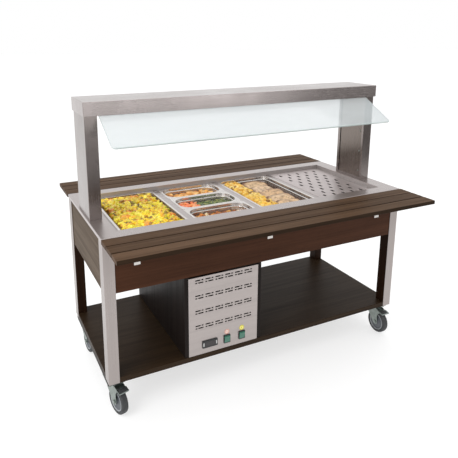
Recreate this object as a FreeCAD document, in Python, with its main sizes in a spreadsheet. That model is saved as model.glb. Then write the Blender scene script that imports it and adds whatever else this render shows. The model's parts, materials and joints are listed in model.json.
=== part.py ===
import FreeCAD, Part
import os
import re
import Sketcher

# Heated buffet display cart: stainless deck with a sunk four-place GN well,
# posts and canopy with a glass screen, wooden fold-down tray slides,
# laminate aprons and shelf, a machine box, and four swivel casters.
# X runs along the length, Y from the front to the back, Z up from the floor.

V = FreeCAD.Vector
doc = FreeCAD.newDocument("buffet_cart")

# ---------------------------------------------------------------- dimensions
SIZES = [
    ("sheet", 1.5), ("gap", 0.3),
    # deck and well
    ("deck_len", 1592), ("deck_wid", 670), ("deck_z", 842), ("deck_lip", 14),
    ("well_len", 1430), ("well_wid", 534), ("rim_drop", 21), ("tank_t", 1.2),
    ("tank_len", 1368), ("tank_wid", 514), ("tank_floor", 660),
    ("wool_t", 26), ("wool_z", 600), ("cover_z", 599), ("cover_lip", 15),
    # GN pans
    ("gn_pitch", 353.4), ("gn_wid", 325), ("gn_len", 530), ("gn_open_wid", 302),
    ("gn_open_len", 504), ("gn_depth", 100), ("third_len", 176), ("third_open", 150),
    ("third_pitch", 176.7), ("pan_t", 1), ("rim_t", 1.2), ("pan_r", 28), ("rim_r", 16),
    ("step_z", 28), ("step_in", 3), ("third_r", 56),
    ("bar_wid", 44), ("bar_drop", 18),
    ("slot_len", 30), ("slot_wid", 14), ("slot_px", 60), ("slot_py", 51.2),
    # legs, aprons, shelf
    ("leg_x", 794), ("leg_y", 333), ("leg_wx", 48), ("leg_wy", 58), ("leg_t", 2),
    ("leg_z", 172), ("board", 18), ("apron_z", 593), ("apron_in", 3), ("shelf_t", 25),
    # machine box and its panel
    ("box_lo", -438), ("box_hi", -43), ("panel_top", 585), ("panel_ret", 16.5),
    ("vent_first", -386), ("vent_pitch", 50.2), ("vent_long", 25.5), ("vent_short", 9.5),
    ("vent_tall", 5.6), ("vent_row", 339), ("vent_step", 75), ("vent_line", 12.6),
    ("ctl_z", 243), ("therm_x", -314), ("therm_wid", 78), ("therm_tall", 36),
    ("switch_one", -225), ("switch_two", -146), ("switch_wid", 34), ("switch_tall", 41),
    ("rocker_r", 18.3), ("rocker_len", 28), ("rocker_tilt", 9),
    ("key_wid", 6.2), ("key_tall", 17.2),
    # posts and canopy
    ("post_out", 788), ("post_in", 732), ("post_dep", 208), ("can_z", 1304), ("can_h", 60),
    ("can_len", 1586), ("can_dep", 230), ("lamp_len", 1200), ("lamp_r", 13), ("lamp_z", 1322),
    # glass
    ("glass_len", 1452), ("glass_slant", 250), ("glass_t", 6), ("glass_tilt", 28.36),
    ("glass_y", -300.2), ("glass_z", 1194.5), ("glass_r", 18),
    # tray slides
    ("tray_len", 1596), ("tray_gap", 2), ("plank_wid", 71), ("plank_gap", 4.5), ("plank_t", 18),
    ("pivot_y", 347), ("pivot_z", 802), ("arm_x", 650), ("arm_wid", 20), ("arm_reach", 512),
    ("pin_r", 4), ("bracket_wid", 28), ("bracket_z", 704),
    # casters
    ("cast_x", 755), ("cast_y", 258), ("cast_trail", 38), ("wheel_r", 62.5), ("wheel_wid", 32),
    ("axle_r", 5), ("rail_wid", 76), ("rail_h", 17), ("rail_t", 3), ("rail_len", 624),
    ("turn_fl", -76), ("turn_fr", -90), ("turn_rl", -84), ("turn_rr", -77),
    # drain cock
    ("drain_x", 250), ("drain_y", 200), ("drain_z", 550), ("drain_r", 12.5),
]
sheet = doc.addObject("Spreadsheet::Sheet", "dims")
for row, (alias, value) in enumerate(SIZES, 1):
    sheet.set("A%d" % row, alias)
    sheet.set("B%d" % row, str(value))
    sheet.setAlias("B%d" % row, alias)
doc.recompute()
NAMES = {alias for alias, _ in SIZES}


def val(alias):
    return float(sheet.get(alias))


def ex(text):
    """An expression in the sheet's aliases."""
    return re.sub(r"[a-z][a-z_]*", lambda m: "dims." + m.group(0) if m.group(0) in NAMES else m.group(0), str(text))


count = [0]


def uid(stem):
    count[0] += 1
    return "%s_%d" % (stem, count[0])


# ---------------------------------------------------------------- primitives
def place(o, x=None, y=None, z=None):
    for axis, e in zip("xyz", (x, y, z)):
        if e is not None:
            o.setExpression("Placement.Base." + axis, ex(e))
    return o


def box(x0, x1, y0, y1, z0, z1, stem="block"):
    o = doc.addObject("Part::Box", uid(stem))
    o.setExpression("Length", ex("(%s)-(%s)" % (x1, x0)))
    o.setExpression("Width", ex("(%s)-(%s)" % (y1, y0)))
    o.setExpression("Height", ex("(%s)-(%s)" % (z1, z0)))
    return place(o, x0, y0, z0)


def sbox(sx, x0, x1, sy, y0, y1, z0, z1, stem="block"):
    """A box given for the positive quadrant, put in the quadrant sx, sy."""
    if sx < 0:
        x0, x1 = "-(%s)" % x1, "-(%s)" % x0
    if sy < 0:
        y0, y1 = "-(%s)" % y1, "-(%s)" % y0
    return box(x0, x1, y0, y1, z0, z1, stem)


TURN = {
    "x": FreeCAD.Rotation(V(0, 1, 0), 90),
    "y": FreeCAD.Rotation(V(1, 0, 0), -90),
    "z": FreeCAD.Rotation(),
}


def rod(axis, r, lo, hi, a, b, stem="rod"):
    """A cylinder along axis from lo to hi; a and b place it on the other two axes, in X, Y, Z order."""
    o = doc.addObject("Part::Cylinder", uid(stem))
    o.setExpression("Radius", ex(r))
    o.setExpression("Height", ex("(%s)-(%s)" % (hi, lo)))
    o.Placement = FreeCAD.Placement(V(), TURN[axis])
    spots = {"x": (lo, a, b), "y": (a, lo, b), "z": (a, b, lo)}[axis]
    return place(o, *spots)


def hexa(axis, r, lo, hi, a, b, stem="hex"):
    o = doc.addObject("Part::Prism", uid(stem))
    o.Polygon = 6
    o.setExpression("Circumradius", ex(r))
    o.setExpression("Height", ex("(%s)-(%s)" % (hi, lo)))
    o.Placement = FreeCAD.Placement(V(), TURN[axis])
    spots = {"x": (lo, a, b), "y": (a, lo, b), "z": (a, b, lo)}[axis]
    return place(o, *spots)


def bend(big, small, sweep, rot, x, y, z):
    """A piece of a ring: big to the tube's centre, small the tube, sweep degrees from its local X."""
    o = doc.addObject("Part::Torus", uid("bend"))
    o.setExpression("Radius1", ex(big))
    o.setExpression("Radius2", ex(small))
    o.Angle3 = sweep
    o.Placement = FreeCAD.Placement(V(), rot)
    return place(o, x, y, z)


def fuse(*parts):
    o = doc.addObject("Part::MultiFuse", uid("joined"))
    o.Shapes = list(parts)
    o.Refine = True
    return o


def cut(base, *tools):
    tool = tools[0]
    if len(tools) > 1:
        tool = doc.addObject("Part::Compound", uid("cutters"))
        tool.Links = list(tools)
    o = doc.addObject("Part::Cut", uid("cut"))
    o.Base, o.Tool = base, tool
    return o


def common(a, b):
    o = doc.addObject("Part::Common", uid("shared"))
    o.Base, o.Tool = a, b
    return o


def rounded(base, radius, pick):
    """Fillets the edges of base that pick accepts."""
    doc.recompute()
    o = doc.addObject("Part::Fillet", uid("rounded"))
    o.Base = base
    r = val(radius) if isinstance(radius, str) else radius
    o.Edges = [(i, r, r) for i, e in enumerate(base.Shape.Edges, 1) if pick(e)]
    if not o.Edges:
        raise ValueError("no edge to round on " + base.Name)
    return o


def runs(e, axis):
    a, b = e.Vertexes[0].Point, e.Vertexes[-1].Point
    d = b - a
    k = "xyz".index(axis)
    return len(e.Vertexes) == 2 and d.Length > 1e-6 and abs(abs(d[k]) - d.Length) < 1e-6


def group(*parts):
    o = doc.addObject("Part::Compound", uid("set"))
    o.Links = list(parts)
    return o


def copy_of(master, x, y, z, turn=None):
    """A placed copy of a piece made about the origin, turned about Z by the sheet's angle."""
    o = doc.addObject("Part::Compound", uid("copy"))
    o.Links = [master]
    if turn:
        o.Placement = FreeCAD.Placement(V(), FreeCAD.Rotation(V(0, 0, 1), 1))
        o.setExpression("Placement.Rotation.Angle", ex(turn))
    return place(o, x, y, z)


def origin_plane(body, role):
    return [f for f in body.Origin.OriginFeatures if f.Role == role][0]


def outline(body, role, pts):
    """A closed sketch of straight edges; each corner is held by two dimensions."""
    sk = body.newObject("Sketcher::SketchObject", uid("outline"))
    sk.AttachmentSupport = [(origin_plane(body, role), "")]
    sk.MapMode = "FlatFace"
    n = len(pts)
    for i in range(n):
        a, b = pts[i], pts[(i + 1) % n]
        sk.addGeometry(Part.LineSegment(V(a[0], a[1], 0), V(b[0], b[1], 0)), False)
    for i in range(n):
        sk.addConstraint(Sketcher.Constraint("Coincident", i, 2, (i + 1) % n, 1))
    for i, p in enumerate(pts):
        for kind, k in (("DistanceX", 0), ("DistanceY", 1)):
            at = sk.addConstraint(Sketcher.Constraint(kind, -1, 1, i, 1, float(p[k])))
            if len(p) > 2 and p[2 + k]:
                sk.setExpression("Constraints[%d]" % at, ex(p[2 + k]))
    return sk


def plate_body(role, pts, thick, stem):
    """A padded outline, half to each side of its plane."""
    body = doc.addObject("PartDesign::Body", uid(stem))
    sk = outline(body, role, pts)
    pad = body.newObject("PartDesign::Pad", uid("pad"))
    pad.Profile = sk
    pad.setExpression("Length", ex(thick))
    if hasattr(pad, "SideType"):
        pad.SideType = "Symmetric"
    else:
        pad.Midplane = True
    body.Tip = pad
    return body


NODES = {}


def node(label, o):
    o.Label = label
    NODES[label] = o
    return o


# ---------------------------------------------------------------- legs
angles, cores = [], []
for sx in (-1, 1):
    for sy in (-1, 1):
        outer = sbox(sx, "leg_x-leg_wx", "leg_x", sy, "leg_y-leg_wy", "leg_y", "leg_z", "deck_z-sheet")
        inner = sbox(sx, "leg_x-leg_wx-1", "leg_x-leg_t", sy, "leg_y-leg_wy-1", "leg_y-leg_t", "leg_z-1", "deck_z")
        angles.append(cut(outer, inner))
        cores.append(sbox(sx, "leg_x-leg_wx", "leg_x-leg_t", sy, "leg_y-leg_wy", "leg_y-leg_t", "leg_z", "deck_z-sheet"))
node("leg_angles", group(*angles))
node("leg_posts", group(*cores))

# ---------------------------------------------------------------- deck
slab = box("-deck_len/2", "deck_len/2", "-deck_wid/2", "deck_wid/2", "deck_z-deck_lip", "deck_z")
slab = rounded(slab, 2.0, lambda e: runs(e, "z") or (e.BoundBox.ZMin > val("deck_z") - 0.01))
under = box("-deck_len/2+sheet", "deck_len/2-sheet", "-deck_wid/2+sheet", "deck_wid/2-sheet", "deck_z-deck_lip-1", "deck_z-sheet")
mouth = box("-well_len/2", "well_len/2", "-well_wid/2", "well_wid/2", "deck_z-deck_lip-1", "deck_z+1")
node("deck_top", cut(slab, under, mouth))

# ---------------------------------------------------------------- well tank
RIM = "deck_z-rim_drop"                     # top of the pan rims
LEDGE = "deck_z-rim_drop-rim_t"             # what the rims rest on
recess = cut(
    box("-well_len/2-tank_t", "well_len/2+tank_t", "-well_wid/2-tank_t", "well_wid/2+tank_t", LEDGE + "-tank_t", "deck_z-sheet"),
    box("-well_len/2", "well_len/2", "-well_wid/2", "well_wid/2", LEDGE, "deck_z"))
tub = box("-tank_len/2-tank_t", "tank_len/2+tank_t", "-tank_wid/2-tank_t", "tank_wid/2+tank_t", "tank_floor-tank_t", LEDGE + "-tank_t/2")
hollow = box("-tank_len/2", "tank_len/2", "-tank_wid/2", "tank_wid/2", "tank_floor", "deck_z+1")
hollow = rounded(hollow, 12.0, lambda e: runs(e, "z") or e.BoundBox.ZMax < val("tank_floor") + 0.01)
END_X, END_Y, PROBE_X, PROBE_Y = -580, 150, -420, -215


def drop_holes(extra, z0, z1):
    return [
        rod("z", "drain_r+%s" % extra, z0, z1, "drain_x", "drain_y"),
        rod("z", "4.25+%s" % extra, z0, z1, END_X, -END_Y),
        rod("z", "4.25+%s" % extra, z0, z1, END_X, END_Y),
        rod("z", "1.6+%s" % extra, z0, z1, PROBE_X, PROBE_Y),
    ]


tank = cut(fuse(recess, tub), hollow, *drop_holes("gap", "tank_floor-20", "tank_floor+5"))
node("well_tank", tank)

wool = cut(
    box("-tank_len/2-wool_t", "tank_len/2+wool_t", "-tank_wid/2-wool_t", "tank_wid/2+wool_t", "wool_z", LEDGE + "-5"),
    box("-tank_len/2-tank_t-gap", "tank_len/2+tank_t+gap", "-tank_wid/2-tank_t-gap", "tank_wid/2+tank_t+gap", "tank_floor-tank_t", "deck_z"),
    *drop_holes("1.5", "wool_z-5", "tank_floor+5"))
node("well_insulation", wool)

pan_under = cut(
    box("-leg_x+leg_wx+1", "leg_x-leg_wx-1", "-leg_y+apron_in+board", "leg_y-apron_in-board", "cover_z", "cover_z+cover_lip"),
    box("-leg_x+leg_wx+2", "leg_x-leg_wx-2", "-leg_y+apron_in+board+1", "leg_y-apron_in-board-1", "cover_z+1", "cover_z+cover_lip+5"),
    rod("z", "drain_r+2", "cover_z-5", "cover_z+5", "drain_x", "drain_y"))
node("tank_under_cover", pan_under)

# tubular element: four runs, three return bends, two legs down through the floor
HZ = "tank_floor+16"
tube = []
for y in (-150, -50, 50, 150):
    tube.append(rod("x", "4.25", -560, 560, y, HZ))
for x, y, spin in ((560, -100, -90), (-560, 0, 90), (560, 100, -90)):
    tube.append(bend(50, 4.25, 180, FreeCAD.Rotation(V(0, 0, 1), spin), x, y, HZ))
for y in (-END_Y, END_Y):
    tube.append(bend(20, 4.25, 90, FreeCAD.Rotation(V(-1, 0, 0), V(0, 0, 1), V(0, 1, 0), "XYZ"), -560, y, HZ + "-20"))
    tube.append(rod("z", "4.25", "cover_z+8", HZ + "-20", END_X, y))
node("heating_element", fuse(*tube))

node("temperature_probe", fuse(
    rod("x", "4", PROBE_X - 4, PROBE_X + 96, PROBE_Y, "tank_floor+30"),
    rod("z", "1.6", "cover_z+8", "tank_floor+30", PROBE_X, PROBE_Y)))

# ---------------------------------------------------------------- divider bars
bars = []
for c in ("-gn_pitch", "0", "gn_pitch"):
    u = cut(
        box(c + "-bar_wid/2", c + "+bar_wid/2", "-tank_wid/2+gap", "tank_wid/2-gap", LEDGE + "-bar_drop", LEDGE),
        box(c + "-bar_wid/2+sheet", c + "+bar_wid/2-sheet", "-tank_wid/2-1", "tank_wid/2+1", LEDGE + "-bar_drop-1", LEDGE + "-sheet"))
    tabs = [sbox(1, c + "-10", c + "+10", sy, "tank_wid/2-16", "well_wid/2-gap", LEDGE, LEDGE + "+1.2") for sy in (-1, 1)]
    bars.append(fuse(u, *tabs))
node("divider_bars", group(*bars))


# ---------------------------------------------------------------- pans
def pan(label, x, y, wid, length, open_wid, open_len, corner):
    """A deep-drawn pan: flat rim with rounded corners, straight walls, rounded foot."""
    def span(c, size, extra=""):
        return "(%s)-((%s)/2%s)" % (c, size, extra), "(%s)+((%s)/2%s)" % (c, size, extra)
    x0, x1 = span(x, wid)
    y0, y1 = span(y, length)
    rim = box(x0, x1, y0, y1, LEDGE, RIM)
    rim = rounded(rim, "rim_r", lambda e: runs(e, "z"))
    # the wall steps in by step_in at step_z below the rim, so that stacked pans don't jam
    foot = val("deck_z") - val("rim_drop") - val("gn_depth")
    x0, x1 = span(x, open_wid, "+pan_t")
    y0, y1 = span(y, open_len, "+pan_t")
    collar = box(x0, x1, y0, y1, RIM + "-step_z-pan_t", RIM + "-rim_t/2")
    collar = rounded(collar, val(corner) + val("pan_t"), lambda e: runs(e, "z"))
    x0, x1 = span(x, open_wid, "+pan_t-step_in")
    y0, y1 = span(y, open_len, "+pan_t-step_in")
    shell = box(x0, x1, y0, y1, RIM + "-gn_depth", RIM + "-step_z")
    shell = rounded(shell, val(corner) + val("pan_t") - val("step_in"), lambda e: runs(e, "z"))
    shell = rounded(shell, 13.0, lambda e: e.BoundBox.ZMax < foot + 0.01)
    x0, x1 = span(x, open_wid)
    y0, y1 = span(y, open_len)
    upper = box(x0, x1, y0, y1, RIM + "-step_z", RIM + "+5")
    upper = rounded(upper, corner, lambda e: runs(e, "z"))
    x0, x1 = span(x, open_wid, "-step_in")
    y0, y1 = span(y, open_len, "-step_in")
    inside = box(x0, x1, y0, y1, RIM + "-gn_depth+pan_t", RIM + "+2")
    inside = rounded(inside, val(corner) - val("step_in"), lambda e: runs(e, "z"))
    inside = rounded(inside, 12.0, lambda e: e.BoundBox.ZMax < foot + val("pan_t") + 0.01)
    return node(label, cut(fuse(rim, collar, shell), upper, inside))


pan("pan_full_left", "-1.5*gn_pitch", "0", "gn_wid", "gn_len", "gn_open_wid", "gn_open_len", "pan_r")
for label, y in (("pan_third_front", "-third_pitch"), ("pan_third_middle", "0"), ("pan_third_rear", "third_pitch")):
    pan(label, "-0.5*gn_pitch", y, "gn_wid", "third_len", "gn_open_wid", "third_open", "third_r")
pan("pan_full_right", "0.5*gn_pitch", "0", "gn_wid", "gn_len", "gn_open_wid", "gn_open_len", "pan_r")

# slotted plate of the fourth place: a flat sheet with a shallow turned-down edge inside the ledge
PX = "1.5*gn_pitch"
flat = box(PX + "-gn_wid/2", PX + "+gn_wid/2", "-gn_len/2", "gn_len/2", LEDGE, RIM)
flat = rounded(flat, "rim_r", lambda e: runs(e, "z"))
skirt = cut(
    box(PX + "-gn_open_wid/2", PX + "+gn_open_wid/2", "-gn_open_len/2", "gn_open_len/2", LEDGE + "-12", LEDGE + "+rim_t/2"),
    box(PX + "-gn_open_wid/2+1", PX + "+gn_open_wid/2-1", "-gn_open_len/2+1", "gn_open_len/2-1", LEDGE + "-13", LEDGE + "+2"))
slots = []
for r in range(-4, 5):
    ks = (-2, -1, 0, 1, 2) if r % 2 == 0 else (-1.5, -0.5, 0.5, 1.5)
    for k in ks:
        cx, cy = PX + "+(%s)*slot_px" % k, "(%s)*slot_py" % r
        slots.append(box(cx + "-slot_wid/2", cx + "+slot_wid/2", cy + "-slot_len/2+slot_wid/2", cy + "+slot_len/2-slot_wid/2", LEDGE + "-1", RIM + "+1"))
        for s in ("-", "+"):
            slots.append(rod("z", "slot_wid/2", LEDGE + "-1", RIM + "+1", cx, cy + s + "(slot_len-slot_wid)/2"))
node("perforated_plate", cut(fuse(flat, skirt), *slots))

# ---------------------------------------------------------------- aprons and shelf
AX = "leg_x-leg_wx"
for label, sy in (("apron_front", -1), ("apron_rear", 1)):
    node(label, sbox(1, "-(%s)" % AX, AX, sy, "leg_y-apron_in-board", "leg_y-apron_in", "apron_z", "deck_z-sheet"))
node("side_aprons", group(*[
    sbox(sx, "leg_x-apron_in-board", "leg_x-apron_in", 1, "-leg_y+leg_wy", "leg_y-leg_wy", "apron_z", "deck_z-sheet") for sx in (-1, 1)]))
notches = [sbox(sx, "leg_x-leg_wx", "leg_x+5", sy, "leg_y-leg_wy", "leg_y+5", "leg_z-5", "leg_z+shelf_t+5") for sx in (-1, 1) for sy in (-1, 1)]
node("lower_shelf", cut(box("-leg_x", "leg_x", "-leg_y", "leg_y", "leg_z", "leg_z+shelf_t"), *notches))

# ---------------------------------------------------------------- machine box
SHELF = "leg_z+shelf_t"
node("box_sides", group(
    box("box_lo", "box_lo+board", "-leg_y+apron_in", "leg_y-apron_in", SHELF, "apron_z"),
    box("box_hi-board", "box_hi", "-leg_y+apron_in", "leg_y-apron_in", SHELF, "apron_z")))
GX = "(box_lo+box_hi)/2"
node("box_back", cut(
    box("box_lo+board", "box_hi-board", "leg_y-apron_in-board", "leg_y-apron_in", SHELF, "apron_z"),
    rod("y", "10", "leg_y-60", "leg_y+5", GX, "ctl_z")))
gland = fuse(
    rod("y", "10", "leg_y-apron_in-board-6", "leg_y-apron_in+2", GX, "ctl_z"),
    hexa("y", "15", "leg_y-apron_in-board-6", "leg_y-apron_in-board", GX, "ctl_z"),
    hexa("y", "15", "leg_y-apron_in", "leg_y-apron_in+7", GX, "ctl_z"),
    rod("y", "11.5", "leg_y-apron_in+7", "leg_y-apron_in+20", GX, "ctl_z"))
node("cable_gland", cut(gland, rod("y", "4.5", "leg_y-60", "leg_y+60", GX, "ctl_z")))
node("contactor", fuse(
    box(GX + "-22.5", GX + "+22.5", "leg_y-apron_in-board-52", "leg_y-apron_in-board", 392, 468),
    box(GX + "-22.5", GX + "+22.5", "leg_y-apron_in-board-84", "leg_y-apron_in-board-52", 408, 452)))

# front panel: a folded sheet with four vent rows and the openings of the controls
FACE = "-leg_y+apron_in-sheet"              # outer face of the panel
sheet_in = [box("box_lo+board+2", "box_hi-board-2", FACE + "+sheet", FACE + "+panel_ret+5", SHELF + "+2", "panel_top-sheet")]
vents = []
for row in range(4):
    for unit in range(6):
        start = "vent_first+%d*vent_pitch" % unit
        z = "vent_row+%d*vent_step" % row
        for lo, size, side in (("0", "vent_long", "+"), ("vent_long+5", "vent_short", "+"), ("0", "vent_short", "-"), ("vent_short+5", "vent_long", "-")):
            zc = "%s%svent_line/2" % (z, side)
            vents.append(box("%s+%s" % (start, lo), "%s+%s+%s" % (start, lo, size), FACE + "-2", FACE + "+4", zc + "-vent_tall/2", zc + "+vent_tall/2"))
ports = [box("therm_x-therm_wid/2+4", "therm_x+therm_wid/2-4", FACE + "-2", FACE + "+4", "ctl_z-therm_tall/2+4", "ctl_z+therm_tall/2-4")]
for s in ("switch_one", "switch_two"):
    ports.append(box(s + "-switch_wid/2+1", s + "+switch_wid/2-1", FACE + "-2", FACE + "+4", "ctl_z-1.5-switch_tall/2+1", "ctl_z-1.5+switch_tall/2-1"))
folded = box("box_lo+board+0.5", "box_hi-board-0.5", FACE, FACE + "+panel_ret", SHELF, "panel_top")
node("control_panel", cut(cut(folded, *sheet_in), *(vents + ports)))

# thermostat: bezel in front of the panel, case behind it, two sunk keys
bezel = box("therm_x-therm_wid/2", "therm_x+therm_wid/2", FACE + "-4.5", FACE, "ctl_z-therm_tall/2", "ctl_z+therm_tall/2")
bezel = rounded(bezel, 3.0, lambda e: runs(e, "y"))
case = box("therm_x-therm_wid/2+4", "therm_x+therm_wid/2-4", FACE, FACE + "+56", "ctl_z-therm_tall/2+4", "ctl_z+therm_tall/2-4")
KEYS = {"key_left": "therm_x-therm_wid/2+6.5", "key_right": "therm_x+therm_wid/2-6.5"}
pockets = [box(x + "-key_wid/2-0.4", x + "+key_wid/2+0.4", FACE + "-6", FACE + "-1.7", "ctl_z-key_tall/2-0.4", "ctl_z+key_tall/2+0.4") for x in KEYS.values()]
window = box("therm_x-26", "therm_x+26", FACE + "-6", FACE + "-4.1", "ctl_z-12", "ctl_z+12")
node("thermostat_housing", cut(fuse(bezel, case), window, *pockets))
for label, x in KEYS.items():
    key = box(x + "-key_wid/2", x + "+key_wid/2", FACE + "-5.4", FACE + "-2.9", "ctl_z-key_tall/2", "ctl_z+key_tall/2")
    node(label, rounded(key, 0.8, lambda e: e.BoundBox.YMax < -(val("leg_y") - val("apron_in") + val("sheet") + 5.3)))

# rocker switches: a frame with a round-backed nest, and the rocker turned about its own axis
SZ = "ctl_z-1.5"
NEST = FACE + "+3.5"
frames = []
for s in ("switch_one", "switch_two"):
    front = box(s + "-switch_wid/2", s + "+switch_wid/2", FACE + "-4", FACE, SZ + "-switch_tall/2", SZ + "+switch_tall/2")
    front = rounded(front, 2.5, lambda e: runs(e, "y"))
    back = box(s + "-switch_wid/2+1", s + "+switch_wid/2-1", FACE, FACE + "+26", SZ + "-switch_tall/2+1", SZ + "+switch_tall/2-1")
    frames.append(cut(fuse(front, back), rod("x", "rocker_r+0.5", s + "-rocker_len/2-0.4", s + "+rocker_len/2+0.4", NEST, SZ)))
node("switch_bezels", group(*frames))
for label, s in (("rocker_heat", "switch_one"), ("rocker_light", "switch_two")):
    # made about its own axis, then tipped and set in the nest
    drum = rod("x", "rocker_r", "-rocker_len/2", "rocker_len/2", 0, 0)
    slab = box("-rocker_len/2-1", "rocker_len/2+1", -10.5, 9, "-rocker_r-1", "rocker_r+1")
    o = copy_of(common(drum, slab), s, NEST, SZ)
    o.Placement = FreeCAD.Placement(o.Placement.Base, FreeCAD.Rotation(V(1, 0, 0), 1))
    o.setExpression("Placement.Rotation.Angle", ex("rocker_tilt"))
    place(o, s, NEST, SZ)
    node(label, o)

# ---------------------------------------------------------------- posts
covers, screws = [], []
for label, sx in (("post_left", -1), ("post_right", 1)):
    shaft = sbox(sx, "post_in", "post_out", 1, "-post_dep/2", "post_dep/2", "deck_z", "can_z")
    shaft = rounded(shaft, 2.0, lambda e: runs(e, "z"))
    bore = sbox(sx, "post_in+sheet", "post_out-sheet", 1, "-post_dep/2+sheet", "post_dep/2-sheet", "deck_z-1", "can_z+1")
    window = sbox(sx, "post_in-1", "post_in+sheet+1", 1, "-post_dep/2+12", "post_dep/2-20", "deck_z+10", "can_z-10")
    node(label, cut(shaft, bore, window))
    plate = sbox(sx, "post_in+sheet", "post_in+2*sheet", 1, "-post_dep/2+6", "post_dep/2-26", "deck_z+6", "can_z-6")
    drills = []
    for z in (888, 1000, 1113, 1288):
        lo, hi = ("post_in+sheet-2.4", "post_in+sheet") if sx > 0 else ("-post_in-sheet", "-post_in-sheet+2.4")
        head = rod("x", "4", lo, hi, -80, z)
        head = rounded(head, 1.6, lambda e, s=sx: e.BoundBox.XLength < 0.01 and abs(e.BoundBox.XMax) < val("post_in") - 0.5)
        lo, hi = ("post_in+sheet", "post_in+sheet+12") if sx > 0 else ("-post_in-sheet-12", "-post_in-sheet")
        screws.append(fuse(head, rod("x", "2", lo, hi, -80, z)))
        drills.append(rod("x", "2", "-post_out", "post_out", -80, z))
    covers.append(cut(plate, *drills))
node("post_covers", group(*covers))
node("cover_screws", group(*screws))

# ---------------------------------------------------------------- canopy and lamp
hood = box("-can_len/2", "can_len/2", "-can_dep/2", "can_dep/2", "can_z", "can_z+can_h")
hood = rounded(hood, 2.0, lambda e: runs(e, "z") or e.BoundBox.ZMin > val("can_z") + val("can_h") - 0.01)
node("canopy_shell", cut(
    hood,
    box("-can_len/2+sheet", "can_len/2-sheet", "-can_dep/2+sheet", "can_dep/2-sheet", "can_z+sheet", "can_z+can_h-sheet"),
    box("-post_out+22", "post_out-22", "-can_dep/2+sheet", "can_dep/2-27", "can_z-1", "can_z+sheet+1")))
TOP = "can_z+can_h-sheet"
trough = cut(
    box(-712, 712, -68, 70, "can_z+4", "can_z+37.2"),
    box(-711, 711, -67, 69, "can_z+3", "can_z+36"))
legs_r = [box(x, x + 40, -20, 20, "can_z+37", TOP) for x in (-520, -20, 480)]
node("lamp_reflector", fuse(trough, *legs_r))
node("lamp_tube", fuse(
    rod("x", "lamp_r", "-lamp_len/2+14", "lamp_len/2-14", 0, "lamp_z"),
    rod("x", "lamp_r+0.6", "-lamp_len/2", "-lamp_len/2+14", 0, "lamp_z"),
    rod("x", "lamp_r+0.6", "lamp_len/2-14", "lamp_len/2", 0, "lamp_z")))
node("lamp_holders", group(*[
    sbox(sx, "lamp_len/2", "lamp_len/2+13", 1, -12, 12, "lamp_z-14", "can_z+36") for sx in (-1, 1)]))

# ---------------------------------------------------------------- glass screen and its clamp
tilt = FreeCAD.Rotation(V(1, 0, 0), 1)


def leaned(o):
    o.Placement = FreeCAD.Placement(V(), tilt)
    o.setExpression("Placement.Rotation.Angle", ex("glass_tilt"))
    return place(o, "-glass_len/2", "glass_y", "glass_z")


pane = doc.addObject("Part::Box", "pane")
pane.setExpression("Length", ex("glass_len"))
pane.setExpression("Width", ex("glass_slant"))
pane.setExpression("Height", ex("glass_t"))
pane = rounded(pane, "glass_r", lambda e: runs(e, "z") and e.BoundBox.YMax < 1)
glass = doc.addObject("Part::Compound", "glass_set")
glass.Links = [pane]
node("glass_screen", leaned(glass))
groove = doc.addObject("Part::Box", "groove")
groove.setExpression("Length", ex("glass_len+4"))
groove.setExpression("Width", ex("glass_slant+0.1"))
groove.setExpression("Height", ex("glass_t"))
leaned(groove)
groove.setExpression("Placement.Base.x", ex("-glass_len/2-2"))
node("glass_rail", cut(box("-glass_len/2+6", "glass_len/2-6", -101, -79, "can_z+sheet+0.5", TOP), groove))

# ---------------------------------------------------------------- tray slides
brackets = []
for side, sy in (("front", -1), ("rear", 1)):
    planks, arms = [], []
    for k in range(3):
        lo = "deck_wid/2+tray_gap+%d*(plank_wid+plank_gap)" % k
        plank = sbox(1, "-tray_len/2", "tray_len/2", sy, lo, lo + "+plank_wid", "deck_z-plank_t", "deck_z")
        planks.append(rounded(plank, 1.5, lambda e: runs(e, "x")))
    for c in ("-arm_x", "0", "arm_x"):
        wall = sbox(1, c + "-bracket_wid/2", c + "+bracket_wid/2", sy, "leg_y-apron_in", "leg_y-apron_in+3", "bracket_z", "pivot_z+20")
        ears = [sbox(1, c + lo, c + hi, sy, "leg_y-apron_in", "pivot_y+10", "pivot_z-12", "pivot_z+13")
                for lo, hi in (("-bracket_wid/2", "-bracket_wid/2+3"), ("+bracket_wid/2-3", "+bracket_wid/2"))]
        axis_y = "pivot_y" if sy > 0 else "-pivot_y"
        hole = rod("x", "pin_r", c + "-bracket_wid", c + "+bracket_wid", axis_y, "pivot_z")
        brackets.append(cut(fuse(wall, *ears), hole))
        brackets.append(fuse(
            rod("x", "pin_r", c + "-bracket_wid/2-2", c + "+bracket_wid/2+2", axis_y, "pivot_z"),
            rod("x", "pin_r+2.5", c + "-bracket_wid/2-4", c + "-bracket_wid/2", axis_y, "pivot_z"),
            rod("x", "pin_r+2.5", c + "+bracket_wid/2", c + "+bracket_wid/2+4", axis_y, "pivot_z")))
        bar = sbox(1, c + "-arm_wid/2", c + "+arm_wid/2", sy, "pivot_y", "arm_reach", "deck_z-plank_t-18", "deck_z-plank_t")
        bar = rounded(bar, 9.0, lambda e, s=sy: runs(e, "x") and e.BoundBox.ZMax < val("deck_z") - val("plank_t") - 10 and s * e.BoundBox.Center.y > 480)
        eye = rod("x", "9", c + "-arm_wid/2", c + "+arm_wid/2", axis_y, "pivot_z")
        web = sbox(1, c + "-arm_wid/2", c + "+arm_wid/2", sy, "pivot_y-9", "pivot_y+9", "pivot_z", "deck_z-plank_t")
        arms.append(cut(fuse(bar, eye, web), rod("x", "pin_r+0.05", c + "-arm_wid", c + "+arm_wid", axis_y, "pivot_z")))
    node("tray_%s_planks" % side, group(*planks))
    node("tray_%s_arms" % side, group(*arms))
node("tray_brackets", group(*brackets))

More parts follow.
